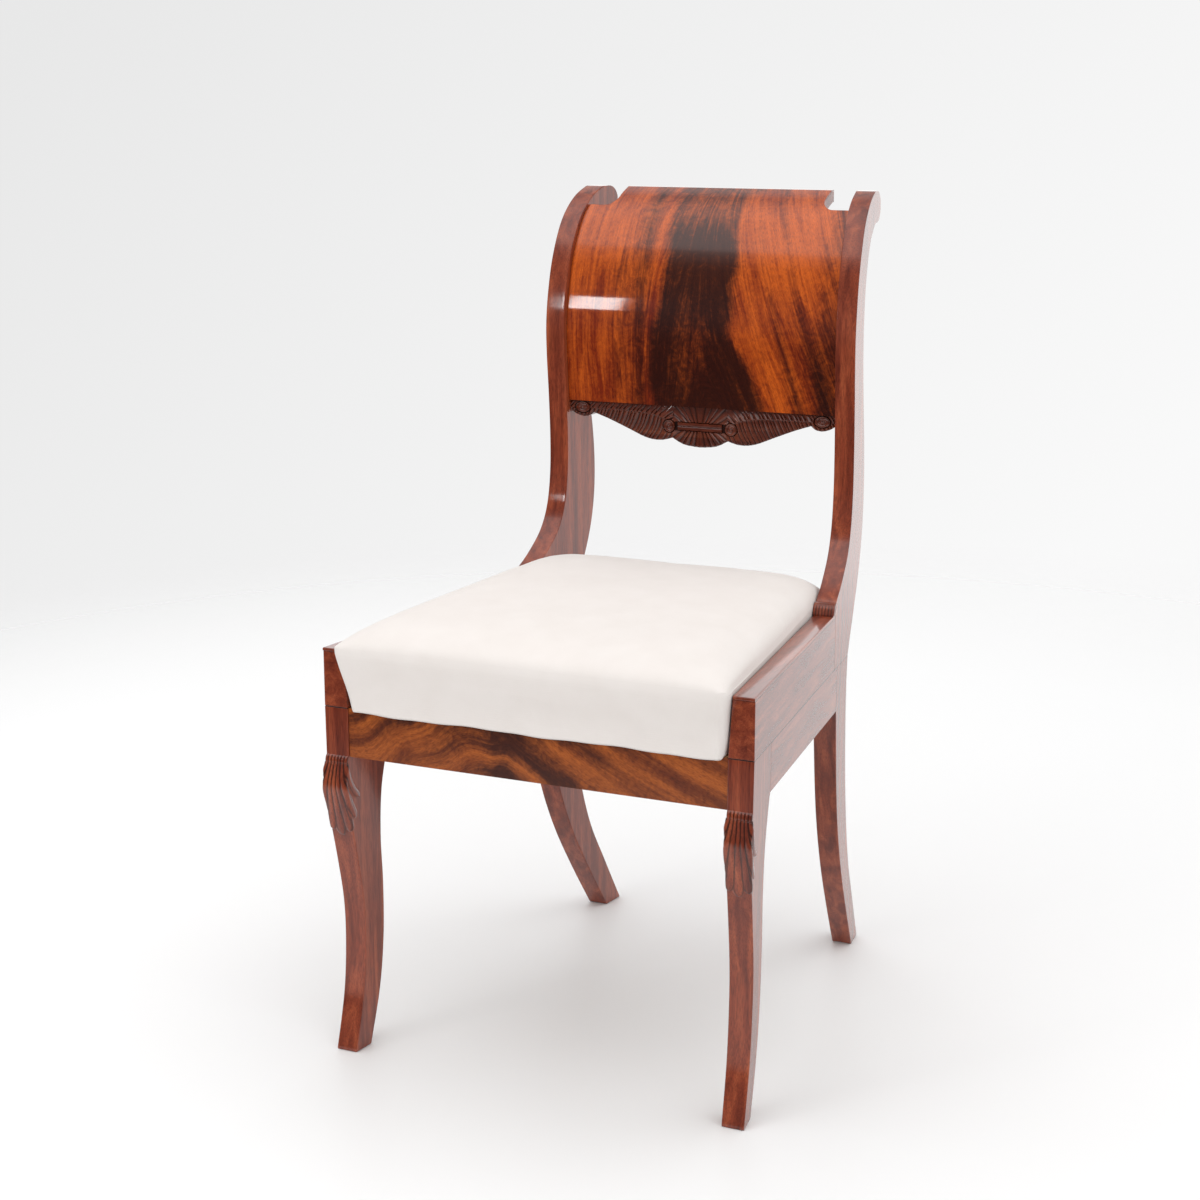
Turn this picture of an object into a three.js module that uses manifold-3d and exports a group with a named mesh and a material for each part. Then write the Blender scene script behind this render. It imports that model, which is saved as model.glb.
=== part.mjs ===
// A mahogany klismos side chair with a scroll-over back, carved knees and a loose seat covered in white muslin.
// Millimetres, z up. The front faces -y; x = 0 is the middle and y = 0 the front of the leg blocks.
// Both side frames stand upright and draw together towards the back, so every depth has its own half width.
import * as THREE from "three";
import { mergeVertices } from "three/addons/utils/BufferGeometryUtils.js";
import Module from "manifold-3d";

const wasm = await Module();
wasm.setup();

const LEFT = -1;
const RIGHT = 1;

// The whole chair
const overallHeight = 890;
const frontWidth = 474;
const rearNarrowing = 99;
const frameDepth = 427;
const legHeight = 328;
const railHeight = 52;
const upperRailHeight = 59;
const capThickness = 3.5;
const glueGap = 0.3;
const overrun = 5;

// The side frames
const legThickness = 27;
const footThickness = 24;
const footInset = 4.5;
const kneeDepth = 69;
const postDepth = 55;
const rearSplay = 173;
const upperThickness = 23;
const stileFoot = 70;
const collarHeight = 13;
const collarDepth = 14;
const scrollReach = 157;
const noseRadius = 18;
const noseShift = 15;
const hookStep = 7;

// The rails and their joints
const frontRailThickness = 24;
const frontRailSetback = 2;
const veneerThickness = 1.2;
const sideRailThickness = 40;
const rearRailSetback = 7;
const rearRailThickness = 30;
const upperRearRailSetback = 4;
const upperRearRailThickness = 20;
const tenonThickness = 10;
const tenonLength = 17;
const tenonHeight = 26;
const tenonShoulder = 8;
const upperTenonRise = 20;
const upperTenonHeight = 30;
const dowelRadius = 4;
const dowelLength = 28;
const dowelSides = 16;
const cornerBlockSize = 38;
const cornerBlockHeight = 40;
const capOverhang = 1.2;

// The back
const crestBottomHeight = 647.5;
const crestSetback = 6;
const crestThickness = 12;
const crestLip = 6;
const notchWidth = 28;
const notchDepth = 44;
const notchRadius = 14;
const flameSeam = -72;
const tongueThickness = 5;
const tongueLength = 8;
const tongueMargin = 20;
const apronDrop = 48;
const apronThickness = 12;
const apronSetback = 3;

// The loose seat
const seatClearance = 1.2;
const coverThickness = 1;
const coverDrawIn = 2;
const coverHem = 24;
const coverCornerRadius = 12;
const rimHeight = 85;
const rimFall = 4;
const rearBow = 12;
const crownHeight = 20;
const frontSwell = 18;
const seatMemberWidth = 46;
const seatMemberHeight = 20;
const strapWidth = 50;
const strapThickness = 1.5;
const strapsAcross = 3;
const strapsAlong = 3;
const strapRestShare = 0.3;
const strapMarginShare = 0.4;
const hessianThickness = 1;

// Heights and places that follow from the sizes above
const jointHeight = legHeight + railHeight;
const upperRailTop = jointHeight + upperRailHeight;
const capTop = upperRailTop + capThickness;
const rootTop = capTop + collarHeight;
const postFront = frameDepth - postDepth;
const seamDepth = frameDepth - stileFoot;
const rearRailDepth = frameDepth - rearRailSetback - rearRailThickness;
const upperRearRailDepth = frameDepth - upperRearRailSetback - upperRearRailThickness;
const sideTaper = rearNarrowing / 2 / frameDepth;

/** Half the width over the side frames, at a distance behind the front. */
function halfWidthAt(depth) {
  return frontWidth / 2 - sideTaper * depth;
}

/** How far a leg's outer face stands in from the side plane: the legs lean in a little towards the foot. */
function legOuterInset(height) {
  return THREE.MathUtils.lerp(footInset, 0, height / jointHeight);
}

/** How far a leg's inner face stands in from the side plane. */
function legInnerInset(height) {
  return THREE.MathUtils.lerp(footInset + footThickness, legThickness, height / jointHeight);
}

/** How far the inner face of the upper side rail stands in: the rail thins towards its top. */
function upperInnerInset(height) {
  const rise = (height - jointHeight) / (capTop - jointHeight);
  return THREE.MathUtils.lerp(legThickness, upperThickness, rise);
}

function point(a, b) {
  return new THREE.Vector2(a, b);
}

/** The corners of a rectangle. */
function rectangle(left, right, bottom, top) {
  return [point(left, bottom), point(right, bottom), point(right, top), point(left, top)];
}

/** A smooth curve through points given as shares of a width and a height, laid off from an origin. */
function curveThrough(shares, origin, width, height, steps) {
  const places = shares.map(([across, up]) => point(origin.x + across * width, origin.y + up * height));
  return new THREE.SplineCurve(places).getPoints(steps);
}

/** A closed geometry, with each vertex moved by a function, as a solid that can be joined and cut. */
function solidOf(geometry, place) {
  geometry.deleteAttribute("normal");
  geometry.deleteAttribute("uv");
  const merged = mergeVertices(geometry);
  const positions = merged.attributes.position;
  for (let i = 0; i < positions.count; i += 1) {
    positions.setXYZ(i, ...place(positions.getX(i), positions.getY(i), positions.getZ(i)));
  }
  const triVerts = new Uint32Array(merged.index.array);
  if (signedVolume(positions, triVerts) < 0) {
    for (let i = 0; i < triVerts.length; i += 3) {
      [triVerts[i], triVerts[i + 1]] = [triVerts[i + 1], triVerts[i]];
    }
  }
  return new wasm.Manifold(new wasm.Mesh({ numProp: 3, vertProperties: positions.array, triVerts }));
}

/** The volume inside a closed mesh, negative where its faces point inwards. */
function signedVolume(positions, triVerts) {
  const corners = [new THREE.Vector3(), new THREE.Vector3(), new THREE.Vector3()];
  let sixTimes = 0;
  for (let i = 0; i < triVerts.length; i += 3) {
    corners.forEach((corner, k) => corner.fromBufferAttribute(positions, triVerts[i + k]));
    sixTimes += corners[0].dot(corners[1].cross(corners[2]));
  }
  return sixTimes;
}

/** An outline extruded over a unit length. */
function unitExtrusion(outline) {
  return new THREE.ExtrudeGeometry(new THREE.Shape(outline), { depth: 1, bevelEnabled: false });
}

function valueAt(inset, height) {
  return typeof inset === "function" ? inset(height) : inset;
}

/** A piece of a side frame: an outline in depth and height, between two insets from the side plane. */
function sideSolid(side, outline, outerInset, innerInset) {
  return solidOf(unitExtrusion(outline), (depth, height, share) => {
    const inset = THREE.MathUtils.lerp(valueAt(outerInset, height), valueAt(innerInset, height), share);
    return [side * (halfWidthAt(depth) - inset), depth, height];
  });
}

/** A piece across the chair: an outline in depth and height, whose ends follow the side frames. */
function crossSolid(outline, endInset) {
  return solidOf(unitExtrusion(outline), (depth, height, share) => {
    const reach = halfWidthAt(depth) - valueAt(endInset, height);
    return [(share * 2 - 1) * reach, depth, height];
  });
}

/** A level piece: an outline in plan, between two heights. */
function levelSolid(outline, bottom, top) {
  return solidOf(unitExtrusion(outline), (x, y, share) => [x, y, THREE.MathUtils.lerp(bottom, top, share)]);
}

/** An upright piece: an outline in width and height, between two depths. */
function uprightSolid(outline, front, back) {
  return solidOf(unitExtrusion(outline), (x, z, share) => [x, THREE.MathUtils.lerp(front, back, share), z]);
}

const chair = new THREE.Group();

/** Adds one solid to the chair under its name. */
function addPiece(name, solid, material) {
  const mesh = solid.getMesh();
  const geometry = new THREE.BufferGeometry();
  geometry.setAttribute("position", new THREE.BufferAttribute(mesh.vertProperties, 3));
  geometry.setIndex(new THREE.BufferAttribute(mesh.triVerts, 1));
  geometry.computeVertexNormals();
  const piece = new THREE.Mesh(geometry, material.clone());
  piece.name = name;
  chair.add(piece);
}

const mahogany = new THREE.MeshStandardMaterial({ color: 0x7a3a2a, roughness: 0.18, metalness: 0 });
const flameMahogany = new THREE.MeshStandardMaterial({ color: 0xa8521c, roughness: 0.12, metalness: 0 });
const beech = new THREE.MeshStandardMaterial({ color: 0xb98d5e, roughness: 0.7, metalness: 0 });
const jute = new THREE.MeshStandardMaterial({ color: 0xa88a5c, roughness: 0.95, metalness: 0 });
const horsehair = new THREE.MeshStandardMaterial({ color: 0x5a4a3c, roughness: 1, metalness: 0 });
const muslin = new THREE.MeshStandardMaterial({ color: 0xf3eee8, roughness: 0.9, metalness: 0 });

const sides = [
  ["left", LEFT],
  ["right", RIGHT],
];

// Tenons: the part that stands out of a rail, and with a gap all round, the mortise that takes it.

const tenonBottom = legHeight + tenonShoulder;
const tenonTop = tenonBottom + tenonHeight;
const upperTenonBottom = jointHeight + upperTenonRise;
const upperTenonTop = upperTenonBottom + upperTenonHeight;
const sideTenonInset = (legThickness - tenonThickness) / 2;

/** A tenon that runs along a side frame, between two depths. */
function sideTenon(side, front, back, bottom, top, gap) {
  const outline = rectangle(front - gap, back + gap, bottom - gap, top + gap);
  return sideSolid(side, outline, sideTenonInset - gap, sideTenonInset + tenonThickness + gap);
}

/** A pair of tenons at the ends of a cross rail, made as one bar that the rail covers in the middle. */
function crossTenons(front, bottom, top, faceInset, gap) {
  const outline = rectangle(front - gap, front + tenonThickness + gap, bottom - gap, top + gap);
  return crossSolid(outline, faceInset - tenonLength - gap);
}

const frontTenonDepth = frontRailSetback + (frontRailThickness - tenonThickness) / 2;
const rearTenonDepth = rearRailDepth + (rearRailThickness - tenonThickness) / 2;
const upperRearTenonDepth = upperRearRailDepth + (upperRearRailThickness - tenonThickness) / 2;

const frontTenons = (gap) => crossTenons(frontTenonDepth, tenonBottom, tenonTop, legThickness, gap);
const rearTenons = (gap) => crossTenons(rearTenonDepth, tenonBottom, tenonTop, legThickness, gap);
const upperRearTenons = (gap) =>
  crossTenons(upperRearTenonDepth, upperTenonBottom, upperTenonTop, upperThickness, gap);

// Dowels stand in the joint between the lower and the upper frame.

const dowelInset = legThickness / 2;
const frontDowelShare = 0.6;
const dowelDepths = {
  front: (kneeDepth - tenonLength) * frontDowelShare,
  middle: (kneeDepth + postFront) / 2,
  rear: postFront + tenonLength + tenonThickness / 2,
};

/** One upright dowel, or with a gap, the hole for it. */
function dowel(side, depth, gap) {
  const radius = dowelRadius + gap;
  const cylinder = new THREE.CylinderGeometry(radius, radius, dowelLength + gap * 2, dowelSides);
  const x = side * (halfWidthAt(depth) - dowelInset);
  return solidOf(cylinder, (a, b, c) => [x + a, depth - c, jointHeight + b]);
}

// Front legs: sawn from the plank, with a block at the rails, a knee that swells forward and a sabre foot.

const legSteps = 36;
const frontLegFrontShares = [
  [0, 1],
  [-0.085, 0.915],
  [-0.055, 0.86],
  [0.02, 0.785],
  [0.165, 0.64],
  [0.28, 0.49],
  [0.285, 0.34],
  [0.2, 0.18],
  [-0.02, 0],
];
const frontLegBackShares = [
  [0.365, 0],
  [0.63, 0.18],
  [0.755, 0.35],
  [0.78, 0.53],
  [0.75, 0.7],
  [0.81, 0.86],
  [1, 1],
];

function frontLegOutline() {
  const origin = point(0, 0);
  return [
    point(kneeDepth, jointHeight),
    point(0, jointHeight),
    ...curveThrough(frontLegFrontShares, origin, kneeDepth, legHeight, legSteps),
    ...curveThrough(frontLegBackShares, origin, kneeDepth, legHeight, legSteps),
  ];
}

for (const [name, side] of sides) {
  const leg = sideSolid(side, frontLegOutline(), legOuterInset, legInnerInset)
    .subtract(sideTenon(side, kneeDepth - tenonLength, kneeDepth + overrun, tenonBottom, tenonTop, glueGap))
    .subtract(frontTenons(glueGap))
    .subtract(dowel(side, dowelDepths.front, glueGap));
  addPiece(`front_leg_${name}`, leg, mahogany);
}

// Rear legs: a post at the rails that sweeps back to the foot.

const rearLegFrontShares = [
  [0, 1],
  [0.089, 0.74],
  [0.19, 0.555],
  [0.352, 0.37],
  [0.57, 0.185],
  [0.812, 0],
];
const rearLegBackShares = [
  [1, 0],
  [0.789, 0.16],
  [0.598, 0.31],
  [0.468, 0.47],
  [0.382, 0.63],
  [0.33, 0.79],
  [0.309, 0.92],
];

function rearLegOutline() {
  const origin = point(postFront, 0);
  const back = curveThrough(rearLegBackShares, origin, rearSplay, jointHeight, legSteps);
  return [
    point(frameDepth, jointHeight),
    point(postFront, jointHeight),
    ...curveThrough(rearLegFrontShares, origin, rearSplay, legHeight, legSteps),
    ...back,
  ];
}

for (const [name, side] of sides) {
  const leg = sideSolid(side, rearLegOutline(), legOuterInset, legInnerInset)
    .subtract(sideTenon(side, postFront - overrun, postFront + tenonLength, tenonBottom, tenonTop, glueGap))
    .subtract(rearTenons(glueGap))
    .subtract(dowel(side, dowelDepths.rear, glueGap));
  addPiece(`rear_leg_${name}`, leg, mahogany);
}

// Lower rails. The side rails are thicker than the legs, and the loose seat rests on that ledge.

const frontRailBack = frontRailSetback + frontRailThickness;

for (const [name, side] of sides) {
  const outline = rectangle(kneeDepth + glueGap, postFront - glueGap, legHeight, jointHeight);
  const front = kneeDepth - tenonLength + glueGap;
  const back = postFront + tenonLength - glueGap;
  const rail = sideSolid(side, outline, legOuterInset, sideRailThickness)
    .add(sideTenon(side, front, back, tenonBottom, tenonTop, 0))
    .subtract(dowel(side, dowelDepths.middle, glueGap));
  addPiece(`side_rail_${name}`, rail, mahogany);
}

function railEndInset(height) {
  return legInnerInset(height) + glueGap;
}

const frontCoreFace = frontRailSetback + veneerThickness + glueGap;
const frontCore = crossSolid(rectangle(frontCoreFace, frontRailBack, legHeight, jointHeight), railEndInset);
addPiece("front_rail", frontCore.add(frontTenons(0)), beech);

const frontFace = rectangle(frontRailSetback, frontRailSetback + veneerThickness, legHeight, jointHeight);
addPiece("front_rail_veneer", crossSolid(frontFace, railEndInset), flameMahogany);

const rearRailBack = rearRailDepth + rearRailThickness;
const rearRail = crossSolid(rectangle(rearRailDepth, rearRailBack, legHeight, jointHeight), railEndInset);
addPiece("rear_rail", rearRail.add(rearTenons(0)), mahogany);

// Corner blocks are glued into the four inner corners of the lower frame.

const cornerBlockTop = jointHeight - tenonShoulder;
const cornerBlockBottom = cornerBlockTop - cornerBlockHeight;

/** A triangular block in the corner between a cross rail's face and the side frame. */
function cornerBlock(side, railFace, inset, direction) {
  const far = railFace + direction * cornerBlockSize;
  const reach = halfWidthAt(railFace) - inset;
  const outline = [
    point(side * reach, railFace),
    point(side * (halfWidthAt(far) - inset), far),
    point(side * (reach - cornerBlockSize), railFace),
  ];
  return levelSolid(outline, cornerBlockBottom, cornerBlockTop);
}

for (const [name, side] of sides) {
  const front = cornerBlock(side, frontRailBack + glueGap, legThickness + glueGap, 1);
  const rear = cornerBlock(side, rearRailDepth - glueGap, sideRailThickness + glueGap, -1);
  addPiece(`corner_block_front_${name}`, front, beech);
  addPiece(`corner_block_rear_${name}`, rear, beech);
}

// Upper side rails with their thin caps. They stand on the lower frame and hold the seat between them.

for (const [name, side] of sides) {
  const seam = seamDepth - glueGap;
  const rail = sideSolid(side, rectangle(0, seam, jointHeight, upperRailTop), 0, upperInnerInset)
    .add(sideTenon(side, seam - overrun, seam + tenonLength, upperTenonBottom, upperTenonTop, 0))
    .subtract(dowel(side, dowelDepths.front, glueGap))
    .subtract(dowel(side, dowelDepths.middle, glueGap));
  addPiece(`upper_rail_${name}`, rail, mahogany);

  const capOutline = rectangle(-capOverhang, seam, upperRailTop, capTop);
  addPiece(`rail_cap_${name}`, sideSolid(side, capOutline, 0, upperThickness), mahogany);
}

// Back stiles: each rises from the rear of the seat in a bow and scrolls over backwards in a round nose.

const stileSteps = 64;
const stileFrontShares = [
  [0, 0],
  [0.185, 0.043],
  [0.346, 0.095],
  [0.439, 0.16],
  [0.48, 0.245],
  [0.484, 0.345],
  [0.466, 0.46],
  [0.443, 0.56],
  [0.437, 0.645],
  [0.463, 0.725],
  [0.519, 0.81],
  [0.611, 0.888],
  [0.71, 0.938],
  [0.847, 0.977],
  [1, 1],
];
const stileBackShares = [
  [0.843, 0.926],
  [0.741, 0.898],
  [0.668, 0.853],
  [0.618, 0.793],
  [0.598, 0.726],
  [0.602, 0.657],
  [0.628, 0.584],
  [0.668, 0.51],
  [0.705, 0.436],
  [0.723, 0.363],
  [0.716, 0.29],
  [0.679, 0.222],
  [0.61, 0.157],
  [0.517, 0.095],
  [0.426, 0.04],
];
const stileReach = scrollReach + noseShift + noseRadius;
const scrollRise = overallHeight - rootTop;
const stileHeight = overallHeight - jointHeight;
const noseSteps = 16;

const stileFrontCurve = curveThrough(
  stileFrontShares, point(seamDepth, rootTop), scrollReach, scrollRise, stileSteps);

/** The round nose of the scroll, from its top round the back to its underside, and the step of its hook. */
function nosePoints() {
  const centre = point(seamDepth + scrollReach + noseShift, overallHeight - noseRadius);
  const arc = new THREE.EllipseCurve(
    centre.x, centre.y, noseRadius, noseRadius, Math.PI / 2, -Math.PI / 2, true);
  return [...arc.getPoints(noseSteps), point(centre.x - hookStep, centre.y - noseRadius)];
}

function stileOutline() {
  const back = curveThrough(stileBackShares, point(seamDepth, jointHeight), stileReach, stileHeight, stileSteps);
  return [
    point(seamDepth, jointHeight),
    ...stileFrontCurve,
    ...nosePoints(),
    ...back,
    point(frameDepth, jointHeight),
  ];
}

/** What is planed off the inner face of a stile, so that it thins above the joint as the upper rail does. */
function stileShaving(side) {
  const outline = [
    point(legThickness, jointHeight),
    point(upperThickness, capTop),
    point(upperThickness, overallHeight + overrun),
    point(legThickness + overrun, overallHeight + overrun),
    point(legThickness + overrun, jointHeight),
  ];
  return solidOf(unitExtrusion(outline), (inset, height, share) => {
    const depth = THREE.MathUtils.lerp(seamDepth - overrun, seamDepth + stileReach + overrun, share);
    return [side * (halfWidthAt(depth) - inset), depth, height];
  });
}

// Crest panel: a board that follows the bow of the stiles, faced with two sheets of veneer.

/** The part of a rising curve above a height, beginning exactly there. */
function curveAbove(points, height) {
  const first = points.findIndex((place) => place.y > height);
  const share = (height - points[first - 1].y) / (points[first].y - points[first - 1].y);
  return [points[first - 1].clone().lerp(points[first], share), ...points.slice(first)];
}

/** A curve moved towards its right-hand side by a distance, square to its run, its first point kept level. */
function offsetCurve(points, distance) {
  return points.map((place, i) => {
    const before = points[Math.max(i - 1, 0)];
    const after = points[Math.min(i + 1, points.length - 1)];
    const run = after.clone().sub(before).normalize();
    const moved = point(place.x + run.y * distance, place.y - run.x * distance);
    return i === 0 ? point(place.x + distance / run.y, place.y) : moved;
  });
}

const crestTopDepth = seamDepth + scrollReach + crestSetback + crestLip;
const crestFace = [
  ...curveAbove(stileFrontCurve, crestBottomHeight).map((place) => point(place.x + crestSetback, place.y)),
  point(crestTopDepth, overallHeight),
];

/** The space between two depths below the crest's face. */
function crestLayer(face, near, far) {
  return [...offsetCurve(face, near), ...offsetCurve(face, far).reverse()];
}

const coreNear = veneerThickness + glueGap;
const coreFar = coreNear + crestThickness;
const tongueNear = (coreNear + coreFar - tongueThickness) / 2;
const tongueTop = overallHeight - noseRadius - tongueMargin;
const crestEndInset = upperThickness + glueGap;

/** The tongues at the ends of the crest, made as one curved bar that the core covers in the middle. */
function crestTongues(gap) {
  const face = curveAbove(crestFace, crestBottomHeight + tongueMargin - gap);
  const low = face.filter((place) => place.y < tongueTop + gap);
  return crossSolid(
    crestLayer(low, tongueNear - gap, tongueNear + tongueThickness + gap), upperThickness - tongueLength - gap);
}

const notchSteps = 8;

/** The cut in a top corner of the crest: seen in plan, a rectangle with its inner corner rounded. */
function cornerNotch(side) {
  const outerEdge = halfWidthAt(crestTopDepth) - upperThickness;
  const innerEdge = outerEdge - notchWidth;
  const frontEdge = crestTopDepth - notchDepth;
  const centre = point(innerEdge + notchRadius, frontEdge + notchRadius);
  const arc = new THREE.EllipseCurve(
    centre.x, centre.y, notchRadius, notchRadius, Math.PI, -Math.PI / 2, false);
  const outline = [
    ...arc.getPoints(notchSteps),
    point(outerEdge + notchRadius, frontEdge),
    point(outerEdge + notchRadius, crestTopDepth + overrun),
    point(innerEdge, crestTopDepth + overrun),
  ];
  return levelSolid(
    outline.map((place) => point(side * place.x, place.y)),
    crestBottomHeight + tongueMargin, overallHeight + overrun);
}

/** A crest layer between two places across the chair, with the corner notches cut. */
function crestSheet(outline, left, right) {
  const span = uprightSolid(
    rectangle(left, right, crestBottomHeight - overrun, overallHeight + overrun),
    seamDepth, crestTopDepth + overrun);
  return crossSolid(outline, crestEndInset)
    .intersect(span)
    .subtract(cornerNotch(LEFT))
    .subtract(cornerNotch(RIGHT));
}

const crestCore = crestSheet(crestLayer(crestFace, coreNear, coreFar), -frontWidth, frontWidth);
addPiece("crest_panel", crestCore.add(crestTongues(0)), mahogany);

const veneerLayer = crestLayer(crestFace, 0, veneerThickness);
addPiece("crest_veneer_band", crestSheet(veneerLayer, -frontWidth, flameSeam - glueGap), flameMahogany);
addPiece("crest_veneer_flame", crestSheet(veneerLayer, flameSeam, frontWidth), flameMahogany);

for (const [name, side] of sides) {
  const stile = sideSolid(side, stileOutline(), 0, legThickness)
    .subtract(stileShaving(side))
    .subtract(sideTenon(side, seamDepth - overrun, seamDepth + tenonLength, upperTenonBottom, upperTenonTop, glueGap))
    .subtract(upperRearTenons(glueGap))
    .subtract(dowel(side, dowelDepths.rear, glueGap))
    .subtract(crestTongues(glueGap));
  addPiece(`back_stile_${name}`, stile, mahogany);

  for (const [place, depth] of Object.entries(dowelDepths)) {
    addPiece(`frame_dowel_${place}_${name}`, dowel(side, depth, 0), beech);
  }
}

/** The ends of the upper rear rail follow the tapered inner faces of the stiles. */
const upperRearRail = crossSolid(
  rectangle(upperRearRailDepth, upperRearRailDepth + upperRearRailThickness, jointHeight, upperRailTop),
  (height) => upperInnerInset(height) + glueGap);
addPiece("upper_rear_rail", upperRearRail.add(upperRearTenons(0)), mahogany);

// Leaf collars: small carved brackets that cover the step from the rail's cap up to the stile.

const collarShares = [
  [0, 0],
  [0.1, 0.3],
  [0.3, 0.75],
  [0.62, 1],
];
const collarSteps = 8;
for (const [name, side] of sides) {
  const back = seamDepth - glueGap;
  const origin = point(back - collarDepth, capTop);
  const outline = [
    ...curveThrough(collarShares, origin, collarDepth, collarHeight, collarSteps),
    point(back, rootTop),
    point(back, capTop),
  ];
  addPiece(`leaf_collar_${name}`, sideSolid(side, outline, 0, upperThickness), mahogany);
}

// Carved apron: a scalloped board glued up against the underside of the crest.

const apronCentreShares = [
  [-0.209, 0.8],
  [-0.12, 0.95],
  [0, 1],
  [0.12, 0.95],
  [0.209, 0.8],
];
const apronSideShares = [
  [0.209, 0.8],
  [0.3, 0.875],
  [0.41, 0.835],
  [0.56, 0.625],
  [0.7, 0.43],
  [0.819, 0.29],
];
const apronScrollShares = [
  [0.819, 0.29],
  [0.85, 0.39],
  [0.9, 0.43],
  [0.955, 0.38],
  [1, 0.25],
];
const apronLobeSteps = 14;
const apronFront = crestFace[0].x + apronSetback;
const apronHalfWidth = halfWidthAt(apronFront) - upperThickness;

function apronOutline() {
  const origin = point(0, crestBottomHeight);
  const lobe = (shares) => curveThrough(shares, origin, apronHalfWidth, -apronDrop, apronLobeSteps);
  const right = [...lobe(apronSideShares).slice(1), ...lobe(apronScrollShares).slice(1)];
  const left = right.map((place) => point(-place.x, place.y)).reverse();
  return [
    point(apronHalfWidth, crestBottomHeight),
    point(-apronHalfWidth, crestBottomHeight),
    ...left,
    ...lobe(apronCentreShares),
    ...right,
  ];
}

const apronBack = apronFront + apronThickness;
const betweenStiles = crossSolid(
  rectangle(apronFront - overrun, apronBack + overrun, crestBottomHeight - apronDrop - overrun, overallHeight),
  crestEndInset);
addPiece("carved_apron", uprightSolid(apronOutline(), apronFront, apronBack).intersect(betweenStiles), mahogany);

// The loose seat: a beech frame, interlaced webbing, hessian and horsehair, under a cover of white muslin.

const wellBack = upperRearRailDepth - seatClearance;
const seatBottom = jointHeight + glueGap;
const memberBottom = seatBottom + coverThickness + glueGap;
const memberTop = memberBottom + seatMemberHeight;
const memberInset = seatClearance + coverDrawIn + coverThickness + glueGap;
const memberFront = frontRailSetback + coverThickness;
const memberBack = wellBack - memberInset;

// Webbing: straps along and across, each passing over one and under the next.

const webBase = memberTop + glueGap + strapThickness / 2;
const weaveLift = strapThickness + glueGap;
const strapRest = seatMemberWidth * strapRestShare;
const strapInset = legThickness + memberInset + strapRest;
const strapFront = memberFront + strapRest;
const strapBack = memberBack - strapRest;
const alongPitch = (halfWidthAt(strapBack) - strapInset) * 2 / (strapsAlong + strapMarginShare);
const acrossPitch = (strapBack - strapFront) / (strapsAcross + strapMarginShare);
const alongPlaces = Array.from({ length: strapsAlong }, (_, i) => (i - (strapsAlong - 1) / 2) * alongPitch);
const acrossMiddle = (strapFront + strapBack) / 2;
const acrossPlaces = Array.from(
  { length: strapsAcross }, (_, i) => acrossMiddle + (i - (strapsAcross - 1) / 2) * acrossPitch);

/** The side view of a strap that passes over and under its neighbours at the places given. */
function strapOutline(start, end, crossings, overFirst) {
  const middle = [point(start, webBase)];
  crossings.forEach((place, i) => {
    const level = (i % 2 === 0) === overFirst ? webBase + weaveLift : webBase;
    middle.push(point(place - strapWidth / 2 - glueGap, level), point(place + strapWidth / 2 + glueGap, level));
  });
  middle.push(point(end, webBase));
  const half = strapThickness / 2;
  return [
    ...middle.map((place) => point(place.x, place.y - half)),
    ...middle.map((place) => point(place.x, place.y + half)).reverse(),
  ];
}

alongPlaces.forEach((x, i) => {
  const outline = strapOutline(strapFront, strapBack, acrossPlaces, i % 2 === 0);
  const strap = solidOf(unitExtrusion(outline), (y, z, share) => [x + (share * 2 - 1) * strapWidth / 2, y, z]);
  addPiece(`webbing_along_${i + 1}`, strap, jute);
});
acrossPlaces.forEach((y, i) => {
  const reach = halfWidthAt(y) - strapInset;
  const outline = strapOutline(-reach, reach, alongPlaces, i % 2 !== 0);
  addPiece(`webbing_across_${i + 1}`, uprightSolid(outline, y - strapWidth / 2, y + strapWidth / 2), jute);
});

// The seat's soft pieces are stacks of rings: each ring is a tapered outline with round corners.

const ringCornerSteps = 4;
const ringSideSteps = 9;

/** The outline of the seat well, moved in by insets, with round corners. */
function ringPoints({ sideInset, front, back, height, cornerRadius }) {
  const corners = [
    point(halfWidthAt(front) - sideInset, front),
    point(halfWidthAt(back) - sideInset, back),
    point(-halfWidthAt(back) + sideInset, back),
    point(-halfWidthAt(front) + sideInset, front),
  ];
  const ring = [];
  corners.forEach((corner, i) => {
    const before = corners[(i + 3) % 4].clone().sub(corner).setLength(cornerRadius).add(corner);
    const next = corners[(i + 1) % 4];
    const after = next.clone().sub(corner).setLength(cornerRadius).add(corner);
    const nextStart = corner.clone().sub(next).setLength(cornerRadius).add(next);
    ring.push(...new THREE.QuadraticBezierCurve(before, corner, after).getPoints(ringCornerSteps));
    for (let k = 1; k < ringSideSteps; k += 1) {
      ring.push(after.clone().lerp(nextStart, k / ringSideSteps));
    }
  });
  return ring.map((place) => new THREE.Vector3(place.x, place.y, height));
}

const crownPower = 4;

/** Rings that rise from a rim to a crown in the middle: steep at the rim, then nearly flat. */
function domeRings(rim, rise, shares) {
  const centre = ringCentre(rim);
  return shares.map((share) => rim.map((place) => {
    const moved = centre.clone().lerp(place, share);
    moved.z += rise * (1 - share ** crownPower);
    return moved;
  }));
}

/** The mean of a ring's places. */
function ringCentre(ring) {
  const centre = new THREE.Vector3();
  ring.forEach((place) => centre.addScaledVector(place, 1 / ring.length));
  return centre;
}

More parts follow.
